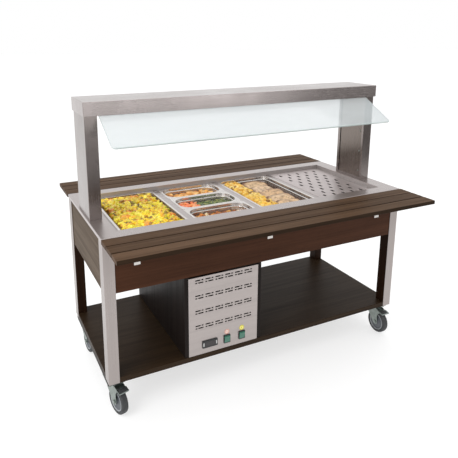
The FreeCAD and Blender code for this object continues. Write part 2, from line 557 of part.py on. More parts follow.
# ---------------------------------------------------------------- casters
rails, plates, bolts = [], [], []
RB = "leg_z-rail_h"                         # underside of a rail
for sx in (-1, 1):
    u = cut(
        sbox(sx, "cast_x-rail_wid/2", "cast_x+rail_wid/2", 1, "-rail_len/2", "rail_len/2", RB, "leg_z"),
        sbox(sx, "cast_x-rail_wid/2+rail_t", "cast_x+rail_wid/2-rail_t", 1, "-rail_len/2+rail_t", "rail_len/2-rail_t", RB + "+rail_t", "leg_z+1"))
    drills = []
    for sy in (-1, 1):
        cx, cy = ("cast_x" if sx > 0 else "-cast_x"), ("cast_y" if sy > 0 else "-cast_y")
        top = sbox(sx, "cast_x-38", "cast_x+38", sy, "cast_y-50", "cast_y+50", RB + "-4", RB)
        top = rounded(top, 8.0, lambda e: runs(e, "z"))
        head = fuse(top, rod("z", "31", RB + "-12", RB + "-4", cx, cy), rod("z", "6", RB + "-28", RB + "-4", cx, cy), hexa("z", "11", RB + "-26", RB + "-18.5", cx, cy))
        own = []
        for dx in (-26, 26):
            for dy in (-40, 40):
                bx, by = "%s+(%d)" % (cx, dx), "%s+(%d)" % (cy, dy)
                bolts.append(fuse(
                    hexa("z", "7.5", RB + "+rail_t", RB + "+rail_t+5.3", bx, by),
                    rod("z", "4", RB + "-11", RB + "+rail_t+1", bx, by),
                    hexa("z", "7.5", RB + "-10.5", RB + "-4", bx, by)))
                own.append(rod("z", "4.5", RB + "-8", RB + "+8", bx, by))
        plates.append(cut(head, *own))
        drills += own
    rails.append(cut(u, *drills))
node("caster_rails", group(*rails))
node("caster_plates", group(*plates))
node("caster_bolts", group(*bolts))

# fork, made about the swivel axis with the wheel trailing along +X
CROWN = val("leg_z") - val("rail_h") - 12.5          # top of the crown
CHEEK = [(-26, CROWN), (24, CROWN), (46, CROWN - 1.5), (61, CROWN - 7), (62, CROWN - 21), (52, CROWN - 33), (50, 92), (53, 76), (53, 56), (47, 49), (29, 49), (22, 57), (-20, 108),
         (-26, CROWN - 14)]
cheeks = []
for y in (-20.5, 20.5):
    cheek = plate_body("XZ_Plane", CHEEK, "3", "cheek")
    cheek.Placement = FreeCAD.Placement(V(0, y, 0), FreeCAD.Rotation())
    cheeks.append(cheek)
crown = fuse(box(-26, 24, -22, 22, CROWN - 5.5, CROWN), rod("z", "30", CROWN - 5.5, CROWN, 0, 0), *cheeks)
fork = cut(crown,
           rod("z", "6.05", 100, 170, 0, 0),
           rod("y", "axle_r", -40, 40, "cast_trail", "wheel_r"),
           rod("y", "3.05", -40, 40, 36, CROWN - 8.5))
axle = fuse(rod("y", "axle_r", -24, 24, "cast_trail", "wheel_r"),
            hexa("y", "9", -27, -22, "cast_trail", "wheel_r"),
            hexa("y", "9", 22, 27, "cast_trail", "wheel_r"))
fork_set = group(fork, axle)

# wheel: tyre, rim and hub turned about the axle
w = val("wheel_wid") / 2
R = val("wheel_r")
RING = [(val("axle_r") + 0.05, -18), (13, -18), (15, -13), (41, -9), (46, -w + 2), (48, -w), (R - 4, -w), (R - 1, -w + 3), (R, -w + 7),
        (R, w - 7), (R - 1, w - 3), (R - 4, w), (48, w), (46, w - 2), (41, 9), (15, 13), (13, 18), (val("axle_r") + 0.05, 18)]
RING[8] = (R, -w + 7, "wheel_r", None)
RING[9] = (R, w - 7, "wheel_r", None)
wheel = doc.addObject("PartDesign::Body", "wheel_master")
ring = outline(wheel, "XY_Plane", RING)
turned = wheel.newObject("PartDesign::Revolution", "turned")
turned.Profile = ring
turned.ReferenceAxis = (ring, ["V_Axis"])
turned.Angle = 360
wheel.Tip = turned
wheel_set = group(wheel)
wheel_set.Placement = FreeCAD.Placement(V(), FreeCAD.Rotation())
place(wheel_set, "cast_trail", "0", "wheel_r")

# brake pedal on two stub pins
PZ = CROWN - 8.5
PEDAL = [(32, PZ + 3.5), (60, PZ + 3), (72, PZ + 0.5), (72, PZ - 4), (60, PZ - 1.5), (54, PZ - 2), (52, PZ - 5), (42, PZ - 5), (32, PZ - 3.5)]
TREAD = [(66, PZ + 3), (78, PZ + 0.2), (92, PZ - 2.8), (92, PZ - 8.2), (78, PZ - 6.2), (66, PZ - 4)]
step = fuse(plate_body("XZ_Plane", PEDAL, "34", "pedal_neck"), plate_body("XZ_Plane", TREAD, "48", "pedal_tread"))
pedal_set = fuse(step, rod("y", "5", -17, 17, 36, PZ), rod("y", "3", -21.9, 21.9, 36, PZ))

for name, sx, sy, turn in (("front_left", -1, -1, "turn_fl"), ("front_right", 1, -1, "turn_fr"), ("rear_left", -1, 1, "turn_rl"), ("rear_right", 1, 1, "turn_rr")):
    cx, cy = ("cast_x" if sx > 0 else "-cast_x"), ("cast_y" if sy > 0 else "-cast_y")
    node("caster_fork_" + name, copy_of(fork_set, cx, cy, "0", turn))
    node("caster_wheel_" + name, copy_of(wheel_set, cx, cy, "0", turn))
    if sy < 0:
        node("brake_pedal_" + name, copy_of(pedal_set, cx, cy, "0", turn))

# ---------------------------------------------------------------- drain cock
DX, DY = "drain_x", "drain_y"
cock = fuse(
    rod("z", "drain_r", "drain_z+20", "tank_floor", DX, DY),
    rod("z", "19", "drain_z-22", "drain_z+22", DX, DY),
    rod("z", "drain_r", "drain_z-50", "drain_z-20", DX, DY),
    rod("y", "7", DY, DY + "+30", DX, "drain_z"))
node("drain_valve", cut(cock, rod("z", "drain_r-2.5", "drain_z-51", "drain_z-21", DX, DY), rod("z", "drain_r-2.5", "drain_z+21", "tank_floor+1", DX, DY)))
handle = rounded(box(DX, DX + "+90", DY + "+32", DY + "+35", "drain_z-7", "drain_z+7"), 6.0, lambda e: runs(e, "y") and e.BoundBox.XMin > val("drain_x") + 50)
node("drain_lever", fuse(handle, rod("y", "9", DY + "+30.5", DY + "+38", DX, "drain_z")))

# ---------------------------------------------------------------- write
doc.recompute()
bad = [o.Name for o in doc.Objects if "Invalid" in o.State or "Error" in o.State]
if bad:
    raise RuntimeError("failed objects: " + ", ".join(bad))
for label, o in NODES.items():
    s = o.Shape
    if s.isNull() or not s.isValid() or not s.Solids:
        raise RuntimeError("bad shape: " + label)
os.makedirs("parts", exist_ok=True)
for old in os.listdir("parts"):
    if old.endswith(".step") and old[:-5] not in NODES:
        os.remove(os.path.join("parts", old))
for label, o in NODES.items():
    o.Shape.exportStep(os.path.join("parts", label + ".step"))
    b = o.Shape.BoundBox
    print("%-28s solids %2d  vol %11.0f  x %7.1f %7.1f  y %7.1f %7.1f  z %7.1f %7.1f" % (
        label, len(o.Shape.Solids), o.Shape.Volume, b.XMin, b.XMax, b.YMin, b.YMax, b.ZMin, b.ZMax))
print(len(NODES), "nodes")
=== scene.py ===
import json
import math
import random

import bmesh
import bpy
import numpy as np
from mathutils import Euler, Matrix, Vector, noise


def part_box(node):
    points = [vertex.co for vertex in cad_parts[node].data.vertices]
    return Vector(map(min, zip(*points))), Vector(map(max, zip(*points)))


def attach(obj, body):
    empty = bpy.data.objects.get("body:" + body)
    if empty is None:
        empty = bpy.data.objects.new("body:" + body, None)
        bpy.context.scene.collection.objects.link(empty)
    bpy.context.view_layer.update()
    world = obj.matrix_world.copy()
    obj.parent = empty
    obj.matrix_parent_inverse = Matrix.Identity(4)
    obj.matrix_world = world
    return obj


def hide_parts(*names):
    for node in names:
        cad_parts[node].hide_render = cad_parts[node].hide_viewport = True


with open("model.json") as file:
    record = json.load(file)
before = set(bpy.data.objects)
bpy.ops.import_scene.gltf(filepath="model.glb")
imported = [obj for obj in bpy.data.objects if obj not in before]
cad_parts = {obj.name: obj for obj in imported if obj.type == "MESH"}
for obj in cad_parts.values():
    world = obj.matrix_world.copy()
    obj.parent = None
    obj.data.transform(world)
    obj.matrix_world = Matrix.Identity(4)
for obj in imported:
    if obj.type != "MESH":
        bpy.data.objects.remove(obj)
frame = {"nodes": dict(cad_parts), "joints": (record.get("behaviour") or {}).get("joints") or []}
NODES = frame["nodes"]
JOINTS = {j["name"]: j for j in frame["joints"]}
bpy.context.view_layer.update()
scene = bpy.context.scene
ROOT = "cart_frame"


# ------------------------------------------------------------------ colours and node helpers
def lin(c):
    c /= 255.0
    return c / 12.92 if c <= 0.04045 else ((c + 0.055) / 1.055) ** 2.4


def S(r, g, b):
    return (lin(r), lin(g), lin(b), 1.0)


def scaled(c, k):
    return (c[0] * k, c[1] * k, c[2] * k, 1.0)


class Mat:
    """A Principled material with the few node patterns used below. Coordinates are the object's own, in metres."""

    def __init__(self, name, base=(0.5, 0.5, 0.5, 1), rough=0.5, metal=0.0):
        self.mat = bpy.data.materials.new(name)
        self.mat.use_nodes = True
        self.t = self.mat.node_tree
        self.p = next(n for n in self.t.nodes if n.type == "BSDF_PRINCIPLED")
        self.p.inputs["Base Color"].default_value = base
        self.p.inputs["Roughness"].default_value = rough
        self.p.inputs["Metallic"].default_value = metal

    def add(self, kind, **kw):
        n = self.t.nodes.new(kind)
        for k, v in kw.items():
            setattr(n, k, v)
        return n

    def link(self, a, b):
        self.t.links.new(a, b)

    def put(self, socket, source):
        self.link(source, self.p.inputs[socket])

    def coords(self, scale=(1, 1, 1), loc=(0, 0, 0), rot=(0, 0, 0)):
        tc = self.add("ShaderNodeTexCoord")
        mp = self.add("ShaderNodeMapping")
        mp.inputs["Scale"].default_value = scale
        mp.inputs["Location"].default_value = loc
        mp.inputs["Rotation"].default_value = rot
        self.link(tc.outputs["Object"], mp.inputs["Vector"])
        return mp.outputs["Vector"]

    def noise(self, vec, scale=1.0, detail=2.0, rough=0.5, dist=0.0):
        n = self.add("ShaderNodeTexNoise")
        n.inputs["Scale"].default_value = scale
        n.inputs["Detail"].default_value = detail
        n.inputs["Roughness"].default_value = rough
        n.inputs["Distortion"].default_value = dist
        self.link(vec, n.inputs["Vector"])
        return n.outputs["Fac"]

    def voronoi(self, vec, scale=1.0, feature="F1", out="Distance"):
        n = self.add("ShaderNodeTexVoronoi")
        n.feature = feature
        n.inputs["Scale"].default_value = scale
        self.link(vec, n.inputs["Vector"])
        return n.outputs[out]

    def ramp(self, fac, stops):
        n = self.add("ShaderNodeValToRGB")
        e = n.color_ramp.elements
        while len(e) < len(stops):
            e.new(0.5)
        for el, (pos, col) in zip(e, stops):
            el.position, el.color = pos, col
        self.link(fac, n.inputs["Fac"])
        return n.outputs["Color"]

    def span(self, fac, lo, hi, a=0.0, b=1.0):
        n = self.add("ShaderNodeMapRange")
        n.inputs["From Min"].default_value = a
        n.inputs["From Max"].default_value = b
        n.inputs["To Min"].default_value = lo
        n.inputs["To Max"].default_value = hi
        self.link(fac, n.inputs["Value"])
        return n.outputs["Result"]

    def math(self, op, a, b=None):
        n = self.add("ShaderNodeMath", operation=op)
        for i, v in enumerate((a, b)):
            if v is None:
                continue
            if isinstance(v, (int, float)):
                n.inputs[i].default_value = v
            else:
                self.link(v, n.inputs[i])
        return n.outputs[0]

    def mix(self, fac, a, b, kind="MIX"):
        n = self.add("ShaderNodeMix", data_type="RGBA", blend_type=kind)
        for key, v in (("Factor", fac), ("A", a), ("B", b)):
            s = [i for i in n.inputs if i.name == key and i.enabled and i.type in (("VALUE",) if key == "Factor" else ("RGBA",))][0]
            if isinstance(v, (int, float, tuple)):
                s.default_value = v
            else:
                self.link(v, s)
        return [o for o in n.outputs if o.type == "RGBA" and o.enabled][0]

    def axis(self, vec, which):
        n = self.add("ShaderNodeSeparateXYZ")
        self.link(vec, n.inputs[0])
        return n.outputs["XYZ".index(which)]

    def grey(self, value):
        c = self.add("ShaderNodeCombineColor")
        for k in range(3):
            self.link(value, c.inputs[k])
        return c.outputs["Color"]

    def bump(self, height, strength=0.3, distance=0.001):
        n = self.add("ShaderNodeBump")
        n.inputs["Strength"].default_value = strength
        n.inputs["Distance"].default_value = distance
        self.link(height, n.inputs["Height"])
        self.link(n.outputs["Normal"], self.p.inputs["Normal"])


def stretch(axis, along, across):
    return tuple(along if a == axis else across for a in "XYZ")


# ------------------------------------------------------------------ materials
def steel(name, axis, base=S(203, 198, 195), rough=0.30, streak=1.0, smudge=1.0, metal=1.0):
    """Brushed stainless: fine lines along axis, broader bands and faint cloudy smears."""
    m = Mat(name, base, rough, metal)
    fine = m.noise(m.coords(stretch(axis, 2.2, 820)), 1.0, 3.0, 0.6)
    band = m.noise(m.coords(stretch(axis, 0.35, 46), (3.1, 1.7, 0.4)), 1.0, 2.0, 0.5)
    cloud = m.noise(m.coords((3.5, 3.5, 3.5), (9, 4, 2)), 1.0, 4.0, 0.6)
    tone = m.math("ADD", m.math("MULTIPLY", fine, 0.35), m.math("ADD", m.math("MULTIPLY", band, 0.4), m.math("MULTIPLY", cloud, 0.25)))
    col = m.ramp(tone, [(0.30, scaled(base, 1 - 0.09 * streak)), (0.5, base), (0.72, scaled(base, 1 + 0.05 * streak))])
    m.put("Base Color", col)
    r = m.math("ADD", m.span(fine, rough - 0.04, rough + 0.04, 0.3, 0.7), m.span(cloud, -0.05 * smudge, 0.06 * smudge, 0.35, 0.65))
    m.put("Roughness", r)
    m.p.inputs["Anisotropic"].default_value = 0.2
    m.bump(fine, 0.03, 0.0004)
    return m.mat


def pan_steel():
    m = Mat("pan_steel", S(214, 210, 206), 0.24, 0.86)
    cloud = m.noise(m.coords((9, 9, 9)), 1.0, 4.0, 0.6)
    scuff = m.noise(m.coords((160, 22, 160), rot=(0, 0, 0.6)), 1.0, 3.0, 0.7)
    m.put("Base Color", m.ramp(cloud, [(0.3, S(210, 205, 201)), (0.7, S(220, 216, 213))]))
    m.put("Roughness", m.math("ADD", m.span(cloud, 0.20, 0.26, 0.3, 0.7), m.span(scuff, 0.0, 0.06, 0.4, 0.75)))
    m.bump(scuff, 0.015, 0.0004)
    return m.mat


def wood(name, dark, mid, light, boards=None, rough=0.42, seed=0.0, axis="X", spec=0.08):
    """Stained open-grain wood: long figure, dark pores, each board in its own tone."""
    m = Mat(name, mid, rough)
    m.p.inputs["Specular IOR Level"].default_value = spec
    figure = m.noise(m.coords(stretch(axis, 1.1, 26), (seed, seed * 2, 0)), 1.0, 6.0, 0.62, 0.9)
    vein = m.noise(m.coords(stretch(axis, 2.6, 150), (seed + 4, 1, 2)), 1.0, 4.0, 0.6, 0.4)
    pore = m.noise(m.coords(stretch(axis, 26, 760), (seed, 3, 5)), 1.0, 2.0, 0.5)
    tone = m.math("ADD", m.math("MULTIPLY", figure, 0.62), m.math("MULTIPLY", vein, 0.38))
    col = m.ramp(tone, [(0.30, dark), (0.48, mid), (0.66, light)])
    dots = m.ramp(pore, [(0.34, (0.45, 0.42, 0.40, 1)), (0.46, (1, 1, 1, 1))])
    col = m.mix(0.40, col, dots, "MULTIPLY")
    if boards:
        first, wide, gap = boards
        y = m.math("SUBTRACT", m.math("ABSOLUTE", m.axis(m.coords(), "Y")), first)
        pitch = m.math("DIVIDE", y, wide + gap)
        board = m.math("FLOOR", pitch)
        w = m.add("ShaderNodeTexWhiteNoise", noise_dimensions="1D")
        m.link(board, w.inputs["W"])
        col = m.mix(1.0, col, m.grey(m.span(w.outputs["Value"], 0.92, 1.08)), "MULTIPLY")
        # each board is darkened along its edges: painted shade in the gaps between boards
        at = m.math("MULTIPLY", m.math("SUBTRACT", pitch, board), wide + gap)
        away = m.math("MINIMUM", at, m.math("SUBTRACT", wide, at))
        col = m.mix(1.0, col, m.grey(m.span(away, 0.34, 1.0, 0.0006, 0.0022)), "MULTIPLY")
    m.put("Base Color", col)
    m.put("Roughness", m.span(tone, rough + 0.1, rough - 0.06, 0.3, 0.7))
    m.bump(m.math("ADD", m.math("MULTIPLY", pore, 0.7), m.math("MULTIPLY", vein, 0.5)), 0.16, 0.0006)
    return m.mat


def plastic(name, base, rough=0.45, grain=900.0, depth=0.1, vary=0.12):
    m = Mat(name, base, rough)
    g = m.voronoi(m.coords(), grain)
    c = m.noise(m.coords((14, 14, 14)), 1.0, 3.0)
    m.put("Base Color", m.ramp(c, [(0.3, scaled(base, 1 - vary)), (0.7, scaled(base, 1 + vary))]))
    m.put("Roughness", m.span(c, rough - 0.05, rough + 0.07, 0.3, 0.7))
    m.bump(g, depth, 0.0003)
    return m.mat


def rubber():
    base = S(52, 53, 55)
    m = Mat("tyre_rubber", base, 0.62)
    dust = m.noise(m.coords((60, 60, 60)), 1.0, 5.0, 0.65)
    m.put("Base Color", m.ramp(dust, [(0.35, S(40, 41, 43)), (0.55, base), (0.8, S(84, 83, 80))]))
    m.put("Roughness", m.span(dust, 0.5, 0.72, 0.3, 0.7))
    m.bump(dust, 0.25, 0.0006)
    return m.mat


def zinc(name="zinc_plate", base=S(150, 158, 153), rough=0.36):
    m = Mat(name, base, rough, 1.0)
    c = m.noise(m.coords((40, 40, 40)), 1.0, 4.0, 0.6)
    v = m.voronoi(m.coords(), 240.0, out="Distance")
    m.put("Base Color", m.ramp(c, [(0.3, scaled(base, 0.72)), (0.55, base), (0.75, scaled(base, 1.18))]))
    m.put("Roughness", m.math("ADD", m.span(c, rough - 0.06, rough + 0.1, 0.3, 0.7), m.span(v, 0.0, 0.06)))
    m.bump(c, 0.08, 0.0005)
    return m.mat


def glass_mat():
    """Screen glass in a white studio: its pale base colour, shown at part opacity, is a painted reflection, and its
    ground edges are denser.
    """
    m = Mat("screen_glass", (0.52, 0.56, 0.57, 1), 0.06)
    m.p.inputs["IOR"].default_value = 1.5
    lo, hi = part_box("glass_screen")
    v = m.coords()
    x, y, z = (m.axis(v, a) for a in "XYZ")
    # how near a point is to the left, right and lower edges
    side = m.math("ABSOLUTE", x)
    near = m.span(side, 0.0, 0.35, hi.x - 0.005, hi.x - 0.0015)
    low = m.span(y, 1.0, 0.0, lo.y + 0.002, lo.y + 0.008)
    edge = m.math("MAXIMUM", near, low)
    smear = m.noise(m.coords((2.2, 5, 5)), 1.0, 3.0, 0.55)
    # how much of the pale base colour shows: the strength of the painted reflection, patchy with smears and denser at
    # the edges
    painted_sheen_alpha = m.math("ADD", m.span(smear, 0.44, 0.52, 0.3, 0.7), m.math("MULTIPLY", edge, 0.26))
    m.put("Alpha", painted_sheen_alpha)
    m.put("Base Color", m.mix(edge, (0.52, 0.56, 0.57, 1), (0.42, 0.49, 0.48, 1)))
    m.put("Roughness", m.span(edge, 0.05, 0.35))
    return m.mat


def brass():
    m = Mat("valve_brass", S(190, 160, 92), 0.28, 1.0)
    c = m.noise(m.coords((70, 70, 70)), 1.0, 4.0)
    m.put("Base Color", m.ramp(c, [(0.3, S(150, 122, 66)), (0.6, S(196, 166, 98)), (0.8, S(214, 190, 130))]))
    m.put("Roughness", m.span(c, 0.2, 0.42, 0.3, 0.7))
    return m.mat


def wool():
    m = Mat("mineral_wool", S(196, 178, 120), 0.95)
    c = m.noise(m.coords((40, 40, 180)), 1.0, 6.0, 0.7)
    m.put("Base Color", m.ramp(c, [(0.3, S(150, 132, 82)), (0.7, S(220, 204, 150))]))
    m.bump(c, 0.8, 0.004)
    return m.mat


def lamp_mat():
    m = Mat("lamp_glass", S(244, 240, 230), 0.3)
    x = m.math("ABSOLUTE", m.axis(m.coords(), "X"))
    cap = m.span(x, 0.0, 1.0, 0.5855, 0.5865)
    haze = m.noise(m.coords((8, 60, 60)), 1.0, 3.0)
    m.put("Base Color", m.mix(cap, m.ramp(haze, [(0.3, S(236, 231, 220)), (0.7, S(248, 246, 240))]), S(170, 170, 168)))
    m.put("Metallic", cap)
    m.p.inputs["Emission Color"].default_value = (1.0, 0.93, 0.80, 1)
    m.put("Emission Strength", m.span(cap, 0.55, 0.0))
    return m.mat


def food(name, rough=0.45, wet=0.35, fleck=None, vary=0.22, scale=90.0, sub=0.0, relief=0.35):
    """A foodstuff that takes its colour from each morsel's own tint, with mottling, a moist coat and optional flecks."""
    m = Mat(name, (0.5, 0.4, 0.2, 1), rough)
    tint = m.add("ShaderNodeAttribute", attribute_name="tint")
    c = m.noise(m.coords(), scale, 5.0, 0.62)
    shade = m.ramp(c, [(0.28, (1 - vary * 1.6, 1 - vary * 1.9, 1 - vary * 2.2, 1)), (0.5, (1, 1, 1, 1)), (0.78, (1 + vary * 0.6, 1 + vary * 0.55, 1 + vary * 0.4, 1))])
    col = m.mix(1.0, tint.outputs["Color"], shade, "MULTIPLY")
    if fleck:
        f = m.voronoi(m.coords(), fleck[1])
        spot = m.span(f, 1.0, 0.0, fleck[2] * 0.6, fleck[2])
        col = m.mix(spot, col, fleck[0])
    m.put("Base Color", col)
    m.put("Roughness", m.span(c, rough - 0.12, rough + 0.14, 0.3, 0.7))
    m.p.inputs["Coat Weight"].default_value = wet
    m.p.inputs["Coat Roughness"].default_value = 0.18
    m.p.inputs["Subsurface Weight"].default_value = sub
    m.p.inputs["Subsurface Radius"].default_value = (0.006, 0.003, 0.0015)
    m.bump(c, relief, 0.0012)
    return m.mat


PLANK = wood("plank_wood", S(57, 41, 28), S(73, 54, 38), S(89, 67, 49), boards=(0.337, 0.071, 0.0045), rough=0.48, spec=0.05)
WENGE = wood("laminate_wenge", S(56, 31, 18), S(66, 39, 24), S(76, 46, 30), rough=0.42, seed=7.0)
# the side aprons take a lighter, greyer copy of the wenge laminate: painted light and sheen from the left
WENGE_Y = wood("laminate_wenge_side_painted_sheen", S(60, 46, 30), S(72, 56, 38), S(84, 66, 46), rough=0.42, seed=11.0, axis="Y", spec=0.05)


SHELF = wood("laminate_shelf", S(37, 27, 18), S(45, 33, 22), S(53, 40, 27), rough=0.40, seed=3.0)
BOX = wood("laminate_box", S(19, 14, 12), S(25, 19, 17), S(31, 24, 21), rough=0.42, seed=5.0, axis="Z", spec=0.1)
CORE = wood("laminate_core", S(31, 18, 11), S(38, 23, 14), S(46, 29, 19), rough=0.42, seed=9.0, axis="Z", spec=0.05)


STEEL_X = steel("stainless_along_x", "X", base=S(182, 174, 172))
STEEL_Z = steel("stainless_along_z", "Z", base=S(164, 156, 153))
STEEL_P = steel("stainless_panel", "X", base=S(177, 169, 166), rough=0.36, streak=2.0)
# the post covers take a darker copy of the stainless steel: painted shade and dark reflection
STEEL_D = steel("stainless_dark", "Z", base=S(130, 121, 115), rough=0.22)
STEEL_T = steel("stainless_tank", "X", base=S(176, 169, 167), rough=0.44, metal=0.45)
STEEL_B = steel("bracket_steel", "Y", base=S(206, 202, 198), rough=0.3)
POST = steel("stainless_post", "Z", base=S(148, 140, 137), rough=0.20)
CANOPY = steel("stainless_canopy", "X", base=S(172, 164, 162), rough=0.22)
PLATE = steel("slotted_plate", "Y", base=S(198, 189, 188), rough=0.44, streak=0.6, metal=0.75)
PAN = pan_steel()
GLASS = glass_mat()
RUBBER = rubber()
ZINC = zinc()
# the caster rails are toned dark grey-brown, far darker than the zinc parts
RAIL = zinc("rail_painted", S(44, 40, 38), 0.5)
PEDAL = zinc("pedal_steel", S(138, 146, 143), 0.38)
BLACK = plastic("black_plastic", S(34, 34, 36), 0.42)
KEY = plastic("key_grey", S(176, 176, 174), 0.5)
HUB = plastic("hub_grey", S(84, 87, 92), 0.42, 500.0, 0.08)
RIM_GREY = plastic("rim_grey", S(150, 153, 156), 0.40, 500.0, 0.06)
WHITE_P = plastic("holder_white", S(226, 225, 220), 0.35)
ENAMEL = plastic("reflector_white", S(232, 230, 224), 0.3, 300.0, 0.03, 0.04)
LEVER = plastic("lever_black", S(36, 34, 34), 0.35)
BRASS = brass()
WOOL = wool()
LAMP = lamp_mat()
ELEMENT = zinc("element_sheath", S(120, 104, 92), 0.45)
ALU = steel("rail_aluminium", "X", base=S(206, 206, 204), rough=0.32)


def rocker_mat():
    """Translucent green rocker with a glossy skin and a faint inner mottle."""
    m = Mat("rocker_green", S(38, 102, 83), 0.22)
    c = m.noise(m.coords((240, 240, 240)), 1.0, 2.0)
    m.put("Base Color", m.ramp(c, [(0.3, S(32, 94, 76)), (0.7, S(46, 112, 91))]))
    m.p.inputs["Coat Weight"].default_value = 0.6
    m.p.inputs["Coat Roughness"].default_value = 0.08
    return m.mat


ROCKER = rocker_mat()

LOOK = {
    "leg_angles": STEEL_Z, "deck_top": STEEL_X, "control_panel": STEEL_P, "post_left": POST, "post_right": POST,
    "canopy_shell": CANOPY, "divider_bars": STEEL_X, "well_tank": STEEL_T, "tank_under_cover": STEEL_X, "cover_screws": ZINC,
    "post_covers": STEEL_D, "temperature_probe": ELEMENT, "heating_element": ELEMENT,
    "apron_front": WENGE, "apron_rear": WENGE, "side_aprons": WENGE_Y, "lower_shelf": SHELF, "box_sides": BOX, "box_back": BOX,
    "leg_posts": CORE, "tray_front_planks": PLANK, "tray_rear_planks": PLANK, "tray_brackets": STEEL_B,
    "tray_front_arms": STEEL_B, "tray_rear_arms": STEEL_B, "well_insulation": WOOL, "drain_valve": BRASS, "drain_lever": LEVER,
    "thermostat_housing": BLACK, "switch_bezels": BLACK, "contactor": BLACK, "cable_gland": BLACK, "key_left": KEY, "key_right": KEY,
    "rocker_heat": ROCKER, "rocker_light": ROCKER, "lamp_reflector": ENAMEL, "lamp_tube": LAMP, "lamp_holders": WHITE_P,
    "glass_screen": GLASS, "glass_rail": ALU, "caster_plates": ZINC, "caster_bolts": ZINC, "caster_rails": RAIL,
    "brake_pedal_front_left": PEDAL, "brake_pedal_front_right": PEDAL,
}
for name in NODES:
    if name == "perforated_plate":
        LOOK[name] = PLATE
    elif name.startswith("pan_"):
        LOOK[name] = PAN
    elif name.startswith("caster_fork"):
        LOOK[name] = ZINC
    elif name.startswith("caster_wheel"):
        LOOK[name] = RUBBER
for name, o in NODES.items():
    o.data.materials.clear()
    o.data.materials.append(LOOK[name])

# edges that catch the light: width of the softened edge, in metres
SOFT = {
    "leg_angles": 0.0009, "leg_posts": 0.0015, "apron_front": 0.0012, "apron_rear": 0.0012, "side_aprons": 0.0012,
    "lower_shelf": 0.0016, "box_sides": 0.0014, "box_back": 0.001, "control_panel": 0.0005, "canopy_shell": 0.0005,
    "post_left": 0.0005, "post_right": 0.0005, "post_covers": 0.0004, "tray_brackets": 0.0007, "tray_front_arms": 0.0012, "tray_rear_arms": 0.0012,
    "thermostat_housing": 0.0004, "switch_bezels": 0.0006, "contactor": 0.0012, "rocker_heat": 0.0009, "rocker_light": 0.0009,
    "caster_plates": 0.0008, "caster_rails": 0.001, "brake_pedal_front_left": 0.0008, "brake_pedal_front_right": 0.0008,
    "drain_lever": 0.0006, "drain_valve": 0.0008, "divider_bars": 0.0005, "glass_screen": 0.0007, "cable_gland": 0.0008,
    "tray_front_planks": 0.0006, "tray_rear_planks": 0.0006, "lamp_reflector": 0.0004, "glass_rail": 0.0005,
}
for name in NODES:
    if name.startswith("caster_fork"):
        SOFT[name] = 0.0009
    elif name.startswith("pan_"):
        SOFT[name] = 0.0007
for name, width in SOFT.items():
    o = NODES[name]
    w = o.modifiers.new("weld", "WELD")
    w.merge_threshold = 1e-5
    b = o.modifiers.new("edge", "BEVEL")
    b.width, b.segments, b.limit_method, b.angle_limit = width, 2, "ANGLE", math.radians(35)
    b.use_clamp_overlap = True


# ------------------------------------------------------------------ mesh helpers
def new_object(name, me, mat=None, smooth=True):
    o = bpy.data.objects.new(name, me)
    scene.collection.objects.link(o)
    if mat is not None:
        me.materials.append(mat)
    if smooth:
        me.polygons.foreach_set("use_smooth", [True] * len(me.polygons))
    return o


def lathe(name, profile, centre, axis, mat, segs=64):
    """A closed ring turned from (radius, along) points about axis through centre."""
    axis = Vector(axis).normalized()
    u = Vector((0, 0, 1)) if abs(axis.z) < 0.9 else Vector((1, 0, 0))
    u = (u - axis * u.dot(axis)).normalized()
    w = axis.cross(u)
    n = len(profile)
    verts, faces = [], []
    for s in range(segs):
        a = 2 * math.pi * s / segs
        d = u * math.cos(a) + w * math.sin(a)
        verts += [tuple(Vector(centre) + d * r + axis * h) for r, h in profile]
    for s in range(segs):
        t = (s + 1) % segs
        for k in range(n):
            j = (k + 1) % n
            faces.append((s * n + k, s * n + j, t * n + j, t * n + k))
    me = bpy.data.meshes.new(name)
    me.from_pydata(verts, [], faces)
    bm = bmesh.new()
    bm.from_mesh(me)
    bmesh.ops.recalc_face_normals(bm, faces=bm.faces)
    bm.to_mesh(me)
    bm.free()
    return new_object(name, me, mat)


def sharpen(o, degrees=35):
    """Marks the hard edges of a smooth-shaded mesh."""
    bm = bmesh.new()
    bm.from_mesh(o.data)
    lim = math.radians(degrees)
    for e in bm.edges:
        if len(e.link_faces) != 2 or e.calc_face_angle(0.0) > lim:
            e.smooth = False
    bm.to_mesh(o.data)
    bm.free()


class Heap:
    """Collects many small shapes into one mesh, each with its own tint."""

    def __init__(self):
        self.v, self.f, self.c, self.n = [], [], [], 0

    def add(self, shape, matrix, tint):
        v, f = shape
        m = np.array(matrix)
        self.v.append(v @ m[:3, :3].T + m[:3, 3])
        self.f.extend([tuple(i + self.n for i in face) for face in f])
        tint = np.array(tint, float)
        self.c.append(tint if tint.ndim == 2 else np.tile(tint, (len(v), 1)))
        self.n += len(v)

    def build(self, name, mat, smooth=True):
        me = bpy.data.meshes.new(name)
        me.from_pydata(np.concatenate(self.v).tolist(), [], self.f)
        at = me.color_attributes.new("tint", "FLOAT_COLOR", "POINT")
        at.data.foreach_set("color", np.concatenate(self.c).astype(np.float32).ravel())
        return new_object(name, me, mat, smooth)


def from_bm(bm):
    bm.verts.ensure_lookup_table()
    v = np.array([x.co[:] for x in bm.verts], float)
    f = [tuple(x.index for x in face.verts) for face in bm.faces]
    bm.free()
    return v, f


def ball(sub=2):
    bm = bmesh.new()
    bmesh.ops.create_icosphere(bm, subdivisions=sub, radius=1.0)
    return from_bm(bm)


